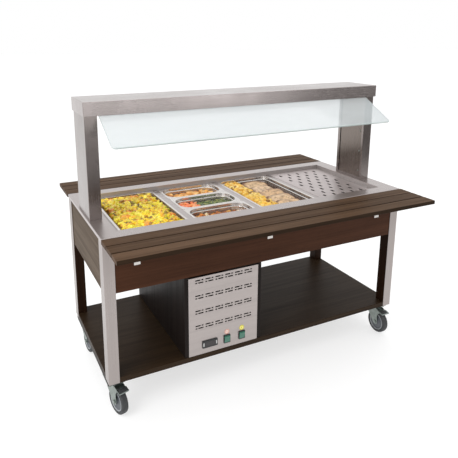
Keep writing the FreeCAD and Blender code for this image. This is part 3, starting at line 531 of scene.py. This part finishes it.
def brick(cuts=3, power=5.0):
    """A cube with rounded edges, about 2 across."""
    bm = bmesh.new()
    bmesh.ops.create_cube(bm, size=2.0)
    bmesh.ops.subdivide_edges(bm, edges=bm.edges[:], cuts=cuts, use_grid_fill=True)
    v, f = from_bm(bm)
    k = (np.abs(v) ** power).sum(1) ** (1 / power)
    return v / k[:, None], f


def lumpy(shape, amount, freq, seed):
    v, f = shape
    off = Vector((seed * 13.7, seed * 5.1, seed * 9.3))
    out = np.array([p * (1 + amount * noise.noise(Vector(p) * freq + off)) for p in v])
    return out, f


def macaroni(length=1.0, r=0.2, bore=0.62, bend=0.5, sides=9, rings=5):
    """A bent tube with an open bore."""
    v, f = [], []

    def ring(t, rad):
        a = (t - 0.5) * bend
        if abs(bend) > 1e-6:
            R = length / bend
            c = Vector((R * math.sin(a), R * (1 - math.cos(a)), 0))
        else:
            c = Vector(((t - 0.5) * length, 0, 0))
        nrm, up = Vector((-math.sin(a), math.cos(a), 0)), Vector((0, 0, 1))
        return [tuple(c + (nrm * math.cos(q) + up * math.sin(q)) * rad) for q in (2 * math.pi * i / sides for i in range(sides))]

    loops = []
    for k in range(rings):
        loops.append(ring(k / (rings - 1), r))
    loops.append(ring(1.0, r * bore))
    loops.append(ring(0.8, r * bore * 0.9))
    loops.append(ring(0.2, r * bore * 0.9))
    loops.append(ring(0.0, r * bore))
    for lp in loops:
        v += lp
    n = len(loops)
    for k in range(n):
        j = (k + 1) % n
        for i in range(sides):
            q = (i + 1) % sides
            f.append((k * sides + i, k * sides + q, j * sides + q, j * sides + i))
    return np.array(v, float), [tuple(reversed(x)) for x in f]


def turn(x, y, z, rx, ry, rz, sx, sy=None, sz=None):
    sy = sx if sy is None else sy
    sz = sx if sz is None else sz
    return Matrix.Translation((x, y, z)) @ Euler((rx, ry, rz)).to_matrix().to_4x4() @ Matrix.Diagonal((sx, sy, sz, 1))


def corner_map(x, y, a, b, r):
    """Squeezes the corners of the rectangle +-a, +-b into rounded ones."""
    dx, dy = abs(x) - (a - r), abs(y) - (b - r)
    if dx > 0 and dy > 0:
        nx = dx * math.sqrt(max(0.0, 1 - dy * dy / (2 * r * r)))
        ny = dy * math.sqrt(max(0.0, 1 - dx * dx / (2 * r * r)))
        return math.copysign(a - r + nx, x), math.copysign(b - r + ny, y)
    return x, y


def bed(name, cx, cy, a, b, r, top, bottom, mat, tint, nx=60, ny=60):
    """A closed heap of rounded plan; top(x, y) gives its height at a point taken from the middle."""
    v, f = [], []
    for j in range(ny + 1):
        for i in range(nx + 1):
            x, y = corner_map((2 * i / nx - 1) * a, (2 * j / ny - 1) * b, a, b, r)
            v.append((cx + x, cy + y, top(x, y)))
    for j in range(ny):
        for i in range(nx):
            k = j * (nx + 1) + i
            f.append((k, k + 1, k + nx + 2, k + nx + 1))
    rim = [i for i in range(nx + 1)] + [j * (nx + 1) + nx for j in range(1, ny + 1)]
    rim += [ny * (nx + 1) + i for i in range(nx - 1, -1, -1)] + [j * (nx + 1) for j in range(ny - 1, 0, -1)]
    base = len(v)
    for k in rim:
        v.append((v[k][0], v[k][1], bottom))
    n = len(rim)
    for k in range(n):
        q = (k + 1) % n
        f.append((rim[q], rim[k], base + k, base + q))
    f.append(tuple(base + k for k in reversed(range(n))))
    me = bpy.data.meshes.new(name)
    me.from_pydata(v, [], f)
    at = me.color_attributes.new("tint", "FLOAT_COLOR", "POINT")
    cols = np.array([tint(p[0] - cx, p[1] - cy) for p in v], np.float32)
    at.data.foreach_set("color", cols.ravel())
    return new_object(name, me, mat)


def nz(x, y, f, seed=0.0):
    return noise.noise(Vector((x * f, y * f, seed)))


def jitter(rng, c, amount):
    k = 1 + rng.uniform(-amount, amount)
    return (max(0, c[0] * k * (1 + rng.uniform(-amount, amount) * 0.3)), max(0, c[1] * k), max(0, c[2] * k * (1 + rng.uniform(-amount, amount) * 0.5)), 1.0)


RIM = 0.821          # top of the pan rims
INSIDE_X = 0.1465    # half the clear width inside a pan
FULL_Y, THIRD_Y = 0.2475, 0.0705
FULL_R, THIRD_R = 0.024, 0.052
X1, X2, X3, X4 = (k * 0.3534 for k in (-1.5, -0.5, 0.5, 1.5))


def within(x, y, b, r, gap):
    """True where a point lies in the rounded plan of a pan, gap away from its wall."""
    dx, dy = abs(x) - (INSIDE_X - r), abs(y) - (b - r)
    if dx > 0 and dy > 0:
        return math.hypot(dx, dy) < r - gap
    return abs(x) < INSIDE_X - gap and abs(y) < b - gap


def spread(rng, n, b, r, gap, lo=-1.0, hi=1.0):
    """n scattered points of a pan's plan, between lo and hi of its half width, kept apart by best-of-six choice."""
    done = []
    while len(done) < n:
        best, far = None, -1.0
        for k in range(6):
            while True:
                x = (lo + (hi - lo) * rng.random()) * (INSIDE_X - gap)
                y = rng.uniform(-1, 1) * (b - gap)
                if within(x, y, b, r, gap):
                    break
            d = min(((x - u) ** 2 + (y - v) ** 2 for u, v in done[-260:]), default=1.0)
            if d > far:
                best, far = (x, y), d
        done.append(best)
    return done


# ------------------------------------------------------------------ food: pasta, first place
F_PASTA = food("food_pasta", 0.42, 0.22, None, 0.13, 120.0, 0.10)
rng = random.Random(11)


def pasta_top(x, y):
    edge = (1 - (x / INSIDE_X) ** 6) * (1 - (y / FULL_Y) ** 6)
    return 0.8105 + 0.0055 * edge + 0.004 * nz(x, y, 13, 1.0) + 0.003 * nz(x, y, 38, 2.0)


YELLOW = [S(248, 220, 46), S(240, 206, 34), S(252, 234, 88), S(228, 190, 34), S(248, 226, 58), S(220, 210, 46), S(230, 176, 42)]
# the bed under the pieces is tinted a darker brown than the pasta: painted shade in the gaps between pieces
o = bed("food_pasta_bed", X1, 0, INSIDE_X - 0.001, FULL_Y - 0.001, FULL_R, lambda x, y: pasta_top(x, y) - 0.0055, 0.728, F_PASTA,
        lambda x, y: scaled(S(150, 110, 26), 0.80 + 0.4 * nz(x, y, 30, 5)), 50, 80)
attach(o, "pan_full_left_body")
shapes = [macaroni(1.0, rr, 0.24, bb, 12, 7) for rr, bb in ((0.25, 0.7), (0.28, 1.1), (0.23, 0.25), (0.26, 1.5))]
heap = Heap()
for x, y in spread(rng, 520, FULL_Y, FULL_R, 0.0175):
    L = rng.uniform(0.026, 0.036)
    near_wall = max(abs(x) / INSIDE_X, abs(y) / FULL_Y)
    tone = rng.choice(YELLOW)
    if nz(x, y, 22, 14.0) > 0.34:
        tone = rng.choice([S(238, 156, 48), S(230, 138, 42), S(246, 180, 60)])
    elif rng.random() < 0.10:
        tone = rng.choice([S(176, 128, 34), S(150, 128, 40), S(196, 150, 40)])
    heap.add(rng.choice(shapes), turn(X1 + x, y, pasta_top(x, y) + rng.uniform(-0.004, 0.003), rng.uniform(-0.6, 0.6), rng.uniform(-0.45, 0.45) * (1 if near_wall < 0.9 else 0.4),
                                      rng.uniform(0, 6.28), L), jitter(rng, tone, 0.12))
o = heap.build("food_pasta", F_PASTA)
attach(o, "pan_full_left_body")
F_BITS = food("food_bits", 0.42, 0.5, None, 0.3, 220.0)
heap = Heap()
chunk = [lumpy(ball(2), 0.35, 1.6, k) for k in range(6)]
for x, y in spread(rng, 80, FULL_Y, FULL_R, 0.014):
    kind = rng.random()
    if kind < 0.34:
        c, sz = rng.choice([S(232, 142, 44), S(226, 128, 40), S(240, 160, 60)]), rng.uniform(0.006, 0.010)
    elif kind < 0.72:
        c, sz = rng.choice([S(164, 116, 36), S(142, 98, 32), S(186, 136, 44)]), rng.uniform(0.005, 0.009)
    else:
        c, sz = rng.choice([S(162, 152, 44), S(180, 168, 50), S(146, 132, 40)]), rng.uniform(0.005, 0.009)
    heap.add(rng.choice(chunk), turn(X1 + x, y, pasta_top(x, y) + rng.uniform(0.001, 0.0055), rng.uniform(0, 6), rng.uniform(0, 6), rng.uniform(0, 6), sz, sz * 0.8, sz * 0.55), jitter(rng, c, 0.2))
# a few dark mushroom slices on top
ringed = [macaroni(1.0, 0.5, 0.55, 0.0, 14, 3)]
for x, y in ((0.07, 0.225), (0.085, 0.10), (-0.03, -0.02), (-0.10, -0.15), (0.02, 0.06), (0.10, -0.10)):
    heap.add(ringed[0], turn(X1 + x, y, pasta_top(x, y) + 0.004, 0.35, 1.25, rng.uniform(0, 6), 0.009, 0.019, 0.019), jitter(rng, S(112, 82, 34), 0.2))
o = heap.build("food_pasta_bits", F_BITS)
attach(o, "pan_full_left_body")


# ------------------------------------------------------------------ food: roast pieces, rear third
F_ROAST = food("food_roast", 0.40, 0.2, (S(120, 72, 32), 120.0, 0.10), 0.24, 60.0, 0.06)


def sauce_top(level, cy):
    return lambda x, y: level + 0.0018 * nz(x, y + cy, 30, 3.0) + 0.0012 * nz(x, y + cy, 70, 8.0)


def third_fill(body, name, cy, level, base, mat):
    o = bed(name + "_bed", X2, cy, INSIDE_X - 0.001, THIRD_Y - 0.001, THIRD_R, sauce_top(level, cy), 0.728, mat,
            lambda x, y: scaled(base, 0.85 + 0.35 * nz(x, y, 40, 5)), 60, 34)
    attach(o, body)


third_fill("pan_third_rear_body", "food_roast", 0.1767, 0.788, S(196, 128, 58), F_ROAST)
heap = Heap()
chunk = [lumpy(brick(3, 3.2), 0.24, 1.1, k) for k in range(6)]
for x, y in spread(rng, 44, THIRD_Y, THIRD_R, 0.020):
    heap.add(rng.choice(chunk), turn(X2 + x, 0.1767 + y, 0.790 + rng.uniform(-0.002, 0.004), rng.uniform(-0.3, 0.3), rng.uniform(-0.3, 0.3), rng.uniform(0, 6.28),
             rng.uniform(0.011, 0.015), rng.uniform(0.013, 0.018), rng.uniform(0.008, 0.011)),
             jitter(rng, rng.choice([S(240, 180, 92), S(230, 158, 70), S(244, 194, 116), S(216, 140, 58)]), 0.12))
o = heap.build("food_roast", F_ROAST)
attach(o, "pan_third_rear_body")

# ------------------------------------------------------------------ food: carrots and greens, middle third
F_VEG = food("food_vegetables", 0.34, 0.55, None, 0.3, 120.0, 0.05)
third_fill("pan_third_middle_body", "food_vegetables", 0.0, 0.785, S(74, 80, 36), F_VEG)
heap = Heap()
disc = [lumpy(brick(3, 4.0), 0.12, 1.3, k) for k in range(4)]
for x, y in spread(rng, 110, THIRD_Y, THIRD_R, 0.016, -1.0, -0.28):
    s = rng.uniform(0.0075, 0.0110)
    heap.add(rng.choice(disc), turn(X2 + x, y, 0.789 + rng.uniform(-0.002, 0.008), rng.uniform(-0.6, 0.6), rng.uniform(-0.6, 0.6), rng.uniform(0, 6.28), s, s * rng.uniform(0.8, 1.3), s * 0.6),
             jitter(rng, rng.choice([S(255, 142, 70), S(255, 160, 84), S(250, 120, 60), S(255, 182, 112)]), 0.10))
pod = [macaroni(1.0, rr, 0.05, bb, 8, 7) for rr, bb in ((0.085, 0.5), (0.095, 0.9), (0.08, 0.2))]
leaf = [lumpy(ball(2), 0.5, 2.2, k) for k in range(5)]
for k, (x, y) in enumerate(spread(rng, 170, THIRD_Y, THIRD_R, 0.026, -0.26, 1.0)):
    if k % 3:
        L = rng.uniform(0.036, 0.048)
        heap.add(rng.choice(pod), turn(X2 + x, y, 0.787 + rng.uniform(0.0, 0.008), rng.uniform(-0.3, 0.3), rng.uniform(-0.18, 0.18), rng.uniform(-0.6, 0.6), L),
                 jitter(rng, rng.choice([S(104, 122, 52), S(84, 106, 46), S(126, 138, 60), S(150, 152, 74)]), 0.16))
    else:
        s = rng.uniform(0.009, 0.014)
        heap.add(rng.choice(leaf), turn(X2 + x, y, 0.788 + rng.uniform(0.0, 0.006), rng.uniform(-0.6, 0.6), rng.uniform(-0.6, 0.6), rng.uniform(0, 6.28), s, s * 0.8, s * 0.35),
                 jitter(rng, rng.choice([S(52, 74, 34), S(72, 94, 42), S(42, 60, 32)]), 0.2))
o = heap.build("food_vegetables", F_VEG)
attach(o, "pan_third_middle_body")

# ------------------------------------------------------------------ food: stew, front third
F_STEW = food("food_stew", 0.32, 0.35, (S(96, 46, 20), 170.0, 0.12), 0.26, 90.0, 0.05)
third_fill("pan_third_front_body", "food_stew", -0.1767, 0.788, S(172, 102, 36), F_STEW)
heap = Heap()
chunk = [lumpy(ball(2), 0.3, 1.4, k) for k in range(7)]
for k, (x, y) in enumerate(spread(rng, 70, THIRD_Y, THIRD_R, 0.019)):
    s = rng.uniform(0.009, 0.015)
    c = rng.choice([S(206, 128, 48), S(186, 106, 36), S(222, 150, 66), S(160, 88, 32), S(228, 168, 88), S(232, 142, 46)])
    if k % 17 == 0:
        c = S(250, 226, 182)
    heap.add(rng.choice(chunk), turn(X2 + x, -0.1767 + y, 0.788 + rng.uniform(-0.002, 0.004), rng.uniform(0, 6), rng.uniform(0, 6), rng.uniform(0, 6), s, s * 0.85, s * 0.7), jitter(rng, c, 0.14))
herb = lumpy(ball(1), 0.4, 2.0, 3)
for x, y in spread(rng, 60, THIRD_Y, THIRD_R, 0.010):
    s = rng.uniform(0.0015, 0.003)
    heap.add(herb, turn(X2 + x, -0.1767 + y, 0.7915 + rng.uniform(0, 0.004), 0, 0, rng.uniform(0, 6), s, s * 1.6, s * 0.4), jitter(rng, S(84, 98, 44), 0.3))
o = heap.build("food_stew", F_STEW)
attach(o, "pan_third_front_body")

# ------------------------------------------------------------------ food: potatoes and meat slices, third place
F_POTATO = food("food_potatoes", 0.46, 0.28, None, 0.14, 80.0, 0.10)
F_MEAT = food("food_meat", 0.50, 0.20, (S(112, 72, 42), 62.0, 0.20), 0.40, 62.0, 0.05, 0.8)
F_JUS = food("food_jus", 0.25, 0.7, None, 0.3, 60.0)


def heap_side(x):
    return max(0.0, min(1.0, (-0.028 - x) / 0.05))


o = bed("food_jus_bed", X3, 0, INSIDE_X - 0.001, FULL_Y - 0.001, FULL_R,
        lambda x, y: 0.779 + 0.014 * heap_side(x) + 0.002 * nz(x, y, 25, 4), 0.728, F_JUS,
        lambda x, y: scaled(S(134, 88, 46), 0.85 + 0.3 * nz(x, y, 30, 6)) if x > -0.05 else scaled(S(196, 142, 56), 0.9), 40, 64)
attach(o, "pan_full_right_body")
heap = Heap()
dice = [lumpy(brick(3, 4.5), 0.14, 1.2, k) for k in range(6)]
for z, count, lim in ((0.793, 95, -0.30), (0.802, 105, -0.36), (0.809, 58, -0.50)):
    for x, y in spread(rng, count, FULL_Y, FULL_R, 0.020, -1.0, lim):
        s = rng.uniform(0.0095, 0.0140)
        tone = rng.choice([S(248, 208, 94), S(242, 192, 70), S(252, 220, 126), S(230, 172, 56), S(248, 200, 80)])
        if rng.random() < 0.11:
            tone = rng.choice([S(168, 124, 44), S(196, 136, 46), S(150, 104, 36)])
        heap.add(rng.choice(dice), turn(X3 + x, y, z + rng.uniform(-0.003, 0.003), rng.uniform(0, 6), rng.uniform(0, 6), rng.uniform(0, 6), s, s * rng.uniform(0.8, 1.15), s * rng.uniform(0.75, 1.0)),
                 jitter(rng, tone, 0.07))
o = heap.build("food_potatoes", F_POTATO)
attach(o, "pan_full_right_body")


def slice_shape(seed):
    """A thick cut of meat: a flat superellipse with an uneven edge and a slightly hollow face."""
    v, f = brick(9, 3.2)
    off = Vector((seed * 7.7, seed * 3.1, 0))
    out = []
    for p in v:
        q = Vector(p)
        rad = math.hypot(q.x, q.y)
        k = 1 + 0.16 * noise.noise(Vector((q.x * 1.3, q.y * 1.3, 1)) + off) + 0.05 * noise.noise(Vector((q.x * 4, q.y * 4, 2)) + off)
        z = q.z + 0.45 * noise.noise(Vector((q.x * 1.6, q.y * 1.6, 9)) + off) - 0.3 * (1 - min(1, rad)) * (1 if q.z > 0 else 0)
        out.append((q.x * k, q.y * k, z))
    return np.array(out), f


heap = Heap()
for k in range(5):
    cut = slice_shape(k)
    face, crust = np.array(jitter(rng, rng.choice([S(222, 188, 146), S(214, 178, 136), S(228, 196, 156)]), 0.05)), np.array(S(122, 78, 44))
    tint = []
    for q in cut[0]:
        e = min(1.0, max(0.0, (max(abs(q[0]), abs(q[1]), math.hypot(q[0], q[1]) * 0.94) - 0.80) / 0.14))
        d = min(1.0, max(0.0, (noise.noise(Vector((q[0] * 2.6, q[1] * 2.6, k * 3.3))) - 0.05) / 0.3)) * 0.45
        e = max(e, d)
        tint.append(face * (1 - e) + crust * e)
    heap.add(cut, turn(X3 + 0.046 + rng.uniform(-0.006, 0.006), -FULL_Y + 0.070 + k * 0.088, 0.7930 + rng.uniform(-0.001, 0.001), 0.15 + rng.uniform(-0.04, 0.04), rng.uniform(-0.07, 0.07),
             rng.uniform(-0.16, 0.16), 0.076 + rng.uniform(-0.004, 0.003), 0.057, 0.0095), np.array(tint))
o = heap.build("food_meat", F_MEAT)
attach(o, "pan_full_right_body")

# ------------------------------------------------------------------ pans: the drawn shoulder below the rim
def shoulder(name, body, cx, cy, b, r, top):
    """A rounded step that runs round the inside of a pan; profile points are (inset from the wall, drop below top)."""
    profile = [(0.0003, 0.0), (0.0010, 0.0002), (0.0024, 0.0014), (0.0034, 0.0030), (0.0036, 0.0046), (0.0036, 0.0120), (0.0003, 0.0120)]
    loops = []
    for inset, drop in profile:
        ring = []
        for q in range(4):
            qx = (INSIDE_X - r) * (1 if q in (0, 3) else -1)
            qy = (b - r) * (1 if q in (0, 1) else -1)
            for k in range(13):
                a = math.pi / 2 * (q + k / 12)
                ring.append((cx + qx + (r - inset) * math.cos(a), cy + qy + (r - inset) * math.sin(a), top - drop))
        loops.append(ring)
    n, m = len(loops[0]), len(loops)
    verts = [v for ring in loops for v in ring]
    faces = [(j * n + k, j * n + (k + 1) % n, (j + 1) % m * n + (k + 1) % n, (j + 1) % m * n + k) for j in range(m) for k in range(n)]
    me = bpy.data.meshes.new(name)
    me.from_pydata(verts, [], faces)
    bm = bmesh.new()
    bm.from_mesh(me)
    bmesh.ops.recalc_face_normals(bm, faces=bm.faces)
    bm.to_mesh(me)
    bm.free()
    o = new_object(name, me, PAN)
    sharpen(o, 50)
    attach(o, body)


for label, cy in (("rear", 0.1767), ("middle", 0.0), ("front", -0.1767)):
    shoulder("shoulder_third_" + label, "pan_third_%s_body" % label, X2, cy, THIRD_Y, THIRD_R, 0.8085)
shoulder("shoulder_full_right", "pan_full_right_body", X3, 0.0, FULL_Y, FULL_R, 0.8085)

# ------------------------------------------------------------------ casters: tyre, hub disc and cap
for c in ("front_left", "front_right", "rear_left", "rear_right"):
    j = JOINTS["roll_" + c]
    centre, axis = j["pos_m"], j["axis"]
    half = [(0.0470, -0.0125), (0.0490, -0.0155), (0.0508, -0.0150), (0.0528, -0.0158), (0.0568, -0.0156), (0.0602, -0.0138), (0.0618, -0.0105), (0.0625, -0.0055)]
    tyre = lathe("tyre_" + c, half + [(r, -h) for r, h in reversed(half)], centre, axis, RUBBER, 80)
    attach(tyre, "wheel_" + c)
    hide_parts("caster_wheel_" + c)
    half = [(0.0051, -0.0178), (0.0110, -0.0178), (0.0122, -0.0168), (0.0128, -0.0125), (0.0150, -0.0106), (0.0330, -0.0086), (0.0385, -0.0094), (0.0412, -0.0122)]
    hub = lathe("hub_" + c, half + [(r, -h) for r, h in reversed(half)], centre, axis, HUB, 72)
    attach(hub, "wheel_" + c)
    sharpen(hub, 40)
    half = [(0.0413, -0.0123), (0.0425, -0.0144), (0.0445, -0.0152), (0.0462, -0.0146), (0.0469, -0.0126)]
    rim = lathe("rim_" + c, half + [(r, -h) for r, h in reversed(half)], centre, axis, RIM_GREY, 72)
    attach(rim, "wheel_" + c)
    sharpen(rim, 40)

# dark grip pads let into the brake pedals
for c in ("front_left", "front_right"):
    j = JOINTS["roll_" + c]
    base, axis = JOINTS["swivel_" + c]["pos_m"], Vector(j["axis"]).normalized()
    along = (Vector(j["pos_m"]) - Vector(base))
    along.z = 0
    along.normalize()
    me = bpy.data.meshes.new("pedal_pad_" + c)
    bm = bmesh.new()
    loops = []
    for inset, lift in ((0.0, -0.0006), (0.0, 0.0006), (0.0009, 0.0011)):
        ring = []
        for q in range(4):
            qx, qy = (0.0850 if q in (0, 3) else 0.0720), (0.0145 if q in (0, 1) else -0.0145)
            for k in range(5):
                a = math.pi / 2 * (q + k / 4)
                x, y = qx + (0.0035 - inset) * math.cos(a), qy + (0.0035 - inset) * math.sin(a)
                z = 0.134 + (0.003 - (x - 0.066) * 0.2333 if x < 0.078 else 0.0002 - (x - 0.078) * 0.2143) + lift
                pt = Vector((base[0], base[1], 0)) + along * x + axis * y
                ring.append(bm.verts.new((pt.x, pt.y, z)))
        loops.append(ring)
    n = len(loops[0])
    for a, b in zip(loops, loops[1:]):
        for k in range(n):
            bm.faces.new((a[k], a[(k + 1) % n], b[(k + 1) % n], b[k]))
    bm.faces.new(loops[-1])
    bm.faces.new(list(reversed(loops[0])))
    bmesh.ops.recalc_face_normals(bm, faces=bm.faces)
    bm.to_mesh(me)
    bm.free()
    pad = new_object("pedal_pad_" + c, me, RUBBER, False)
    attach(pad, "pedal_" + c)

# ------------------------------------------------------------------ small marks on the control panel
def flat_mark(name, pts, y, thick, mat):
    """A thin raised mark of closed outline, pts in X and Z, its face at y - thick."""
    me = bpy.data.meshes.new(name)
    bm = bmesh.new()
    vs = [bm.verts.new((x, y, z)) for x, z in pts]
    face = bm.faces.new(vs)
    out = bmesh.ops.extrude_face_region(bm, geom=[face])
    for g in out["geom"]:
        if isinstance(g, bmesh.types.BMVert):
            g.co.y -= thick
    bmesh.ops.recalc_face_normals(bm, faces=bm.faces)
    bm.to_mesh(me)
    bm.free()
    return new_object(name, me, mat, False)


def circle(cx, cz, r, n=32):
    return [(cx + r * math.cos(2 * math.pi * k / n), cz + r * math.sin(2 * math.pi * k / n)) for k in range(n)]


def ink(name, base):
    m = Mat(name, base, 0.4)
    c = m.noise(m.coords((300, 300, 300)), 1.0, 2.0)
    m.put("Base Color", m.ramp(c, [(0.3, scaled(base, 0.9)), (0.7, scaled(base, 1.1))]))
    return m.mat


PANEL_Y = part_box("control_panel")[0].y
PINK_INK, PALE_INK, YELLOW_INK, CORE_INK = ink("mark_pink", S(216, 158, 142)), ink("mark_pale", S(226, 208, 198)), ink("mark_yellow", S(206, 194, 66)), ink("mark_core", S(244, 236, 138))
HEAT_X, LIGHT_X, MARK_Z = -0.225, -0.146, 0.2785
ring = lathe("mark_heat_ring", [(0.0092, 0.0), (0.0128, 0.0), (0.0128, 0.0005), (0.0092, 0.0005)], (HEAT_X, PANEL_Y, MARK_Z), (0, -1, 0), PINK_INK, 48)
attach(ring, ROOT)
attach(flat_mark("mark_heat_disc", circle(HEAT_X, MARK_Z, 0.0089), PANEL_Y, 0.0003, PALE_INK), ROOT)
for k in (-1, 0, 1):
    pts = []
    for s in range(13):
        t = s / 12
        pts.append((HEAT_X + k * 0.0046 + 0.0011 * math.sin(t * 2 * math.pi), MARK_Z - 0.0054 + t * 0.0108))
    wave = [(x - 0.0008, z) for x, z in pts] + [(x + 0.0008, z) for x, z in reversed(pts)]
    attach(flat_mark("mark_heat_wave_%d" % (k + 2), wave, PANEL_Y - 0.0003, 0.0003, PINK_INK), ROOT)
ring = lathe("mark_lamp_ring", [(0.0094, 0.0), (0.0130, 0.0), (0.0130, 0.0005), (0.0094, 0.0005)], (LIGHT_X, PANEL_Y, MARK_Z), (0, -1, 0), YELLOW_INK, 48)
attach(ring, ROOT)
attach(flat_mark("mark_lamp_disc", circle(LIGHT_X, MARK_Z, 0.0091), PANEL_Y, 0.0003, CORE_INK), ROOT)
bulb = []
for k in range(25):
    a = math.radians(-60 + 300 * k / 24)
    bulb.append((LIGHT_X + 0.0046 * math.cos(a), MARK_Z + 0.0016 + 0.0046 * math.sin(a)))
neck = [(LIGHT_X - 0.0022, MARK_Z - 0.0036), (LIGHT_X - 0.0022, MARK_Z - 0.0058), (LIGHT_X + 0.0022, MARK_Z - 0.0058), (LIGHT_X + 0.0022, MARK_Z - 0.0036)]
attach(flat_mark("mark_lamp_bulb", bulb + neck, PANEL_Y - 0.0003, 0.0003, YELLOW_INK), ROOT)

# thermostat window: a dark glossy lens in the bezel's recess
lo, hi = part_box("thermostat_housing")
LENS = Mat("display_lens", S(26, 20, 22), 0.08)
lens_noise = LENS.noise(LENS.coords((120, 120, 120)), 1.0, 2.0)
LENS.put("Base Color", LENS.ramp(lens_noise, [(0.3, S(20, 14, 16)), (0.7, S(36, 26, 28))]))
LENS.p.inputs["Coat Weight"].default_value = 0.5
cx, cz = (lo.x + hi.x) / 2, (lo.z + hi.z) / 2
pts = []
for k in range(4):
    qx, qz = cx + (0.0225 if k in (0, 3) else -0.0225), cz + (0.0085 if k in (0, 1) else -0.0085)
    for s in range(6):
        a = math.pi / 2 * (k + s / 5)
        pts.append((qx + 0.003 * math.cos(a), qz + 0.003 * math.sin(a)))
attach(flat_mark("thermostat_lens", pts, lo.y + 0.0006, 0.0007, LENS.mat), ROOT)

# ------------------------------------------------------------------ stage, light and camera
floor_me = bpy.data.meshes.new("floor")
floor_me.from_pydata([(-40, -40, 0), (40, -40, 0), (40, 40, 0), (-40, 40, 0)], [], [(0, 1, 2, 3)])
F = Mat("floor_white", (0.40, 0.40, 0.40, 1), 0.6)
F.p.inputs["Specular IOR Level"].default_value = 0.1
F.p.inputs["Emission Color"].default_value = (1, 1, 1, 1)
F.p.inputs["Emission Strength"].default_value = 0.645
new_object("floor", floor_me, F.mat, False)

# a dark cloth on the studio floor and a dark screen behind it, that only the polished faces see
flag_me = bpy.data.meshes.new("flag")
flag_me.from_pydata([(-2.5, -9.2, 0.01), (9.0, -9.2, 0.01), (9.0, -2.6, 0.01), (-2.5, -2.6, 0.01),
                     (-9.0, -9.8, 0.01), (16.0, -9.8, 0.01), (16.0, -9.8, 2.8), (-9.0, -9.8, 2.8)], [], [(0, 1, 2, 3), (4, 5, 6, 7)])
flag = new_object("flag", flag_me, ink("flag_cloth", (0.11, 0.10, 0.097, 1)), False)
flag.visible_camera = flag.visible_diffuse = flag.visible_shadow = flag.visible_transmission = False
# a white reflector card that stands beyond the cloth, mirrored along the canopy
card_me = bpy.data.meshes.new("card")
card_me.from_pydata([(-1.0, -9.5, 0.0), (6.6, -9.5, 0.0), (6.6, -9.5, 1.1), (-1.0, -9.5, 1.1)], [], [(0, 1, 2, 3)])
C = Mat("card_white", (0.8, 0.8, 0.8, 1), 0.6)
C.p.inputs["Emission Color"].default_value = (1, 1, 1, 1)
C.p.inputs["Emission Strength"].default_value = 1.6
card = new_object("card", card_me, C.mat, False)
card.visible_camera = card.visible_diffuse = card.visible_shadow = card.visible_transmission = False

world = bpy.data.worlds.new("studio")
world.use_nodes = True
scene.world = world
bg = next(n for n in world.node_tree.nodes if n.type == "BACKGROUND")
bg.inputs["Strength"].default_value = 1.0
bg.inputs["Color"].default_value = (1.0, 1.0, 1.0, 1)


def area(name, loc, target, size, power, colour=(1, 1, 1)):
    li = bpy.data.lights.new(name, "AREA")
    li.shape, li.size, li.size_y, li.energy, li.color = "RECTANGLE", size[0], size[1], power, colour
    o = bpy.data.objects.new(name, li)
    scene.collection.objects.link(o)
    o.location = loc
    o.rotation_mode = "QUATERNION"
    o.rotation_quaternion = (Vector(target) - Vector(loc)).to_track_quat("-Z", "Y")
    return o


area("key", (-3.4, -1.6, 3.2), (0, 0, 0.8), (2.4, 2.4), 90)
area("top", (0.4, 0.6, 4.2), (0, 0, 0.8), (4.0, 3.0), 45)

# viewing angle of the photograph, in pixels of a 458 x 458 frame
FPX, CXP, CYP = 518.93, 204.694, 155.0
YAW, PITCH, ROLL = 0.4430, -0.2307, -0.0032
cam = bpy.data.cameras.new("camera")
cam.sensor_fit, cam.sensor_width = "HORIZONTAL", 36.0
cam.lens = FPX / 458.0 * 36.0
cam.shift_x = (229.0 - CXP) / 458.0
cam.shift_y = -(229.0 - CYP) / 458.0
cam.clip_start, cam.clip_end = 0.05, 100.0
cam_o = bpy.data.objects.new("camera", cam)
scene.collection.objects.link(cam_o)
fwd = Vector((math.sin(YAW) * math.cos(PITCH), math.cos(YAW) * math.cos(PITCH), math.sin(PITCH)))
right = fwd.cross(Vector((0, 0, 1))).normalized()
up = right.cross(fwd)
r2 = right * math.cos(ROLL) + up * math.sin(ROLL)
u2 = up * math.cos(ROLL) - right * math.sin(ROLL)
rot = Matrix((r2, u2, -fwd)).transposed()
cam_o.matrix_world = Matrix.Translation((-1.2517, -2.2581, 1.6410)) @ rot.to_4x4()
scene.camera = cam_o

scene.view_settings.view_transform = "Standard"
scene.view_settings.look = "None"
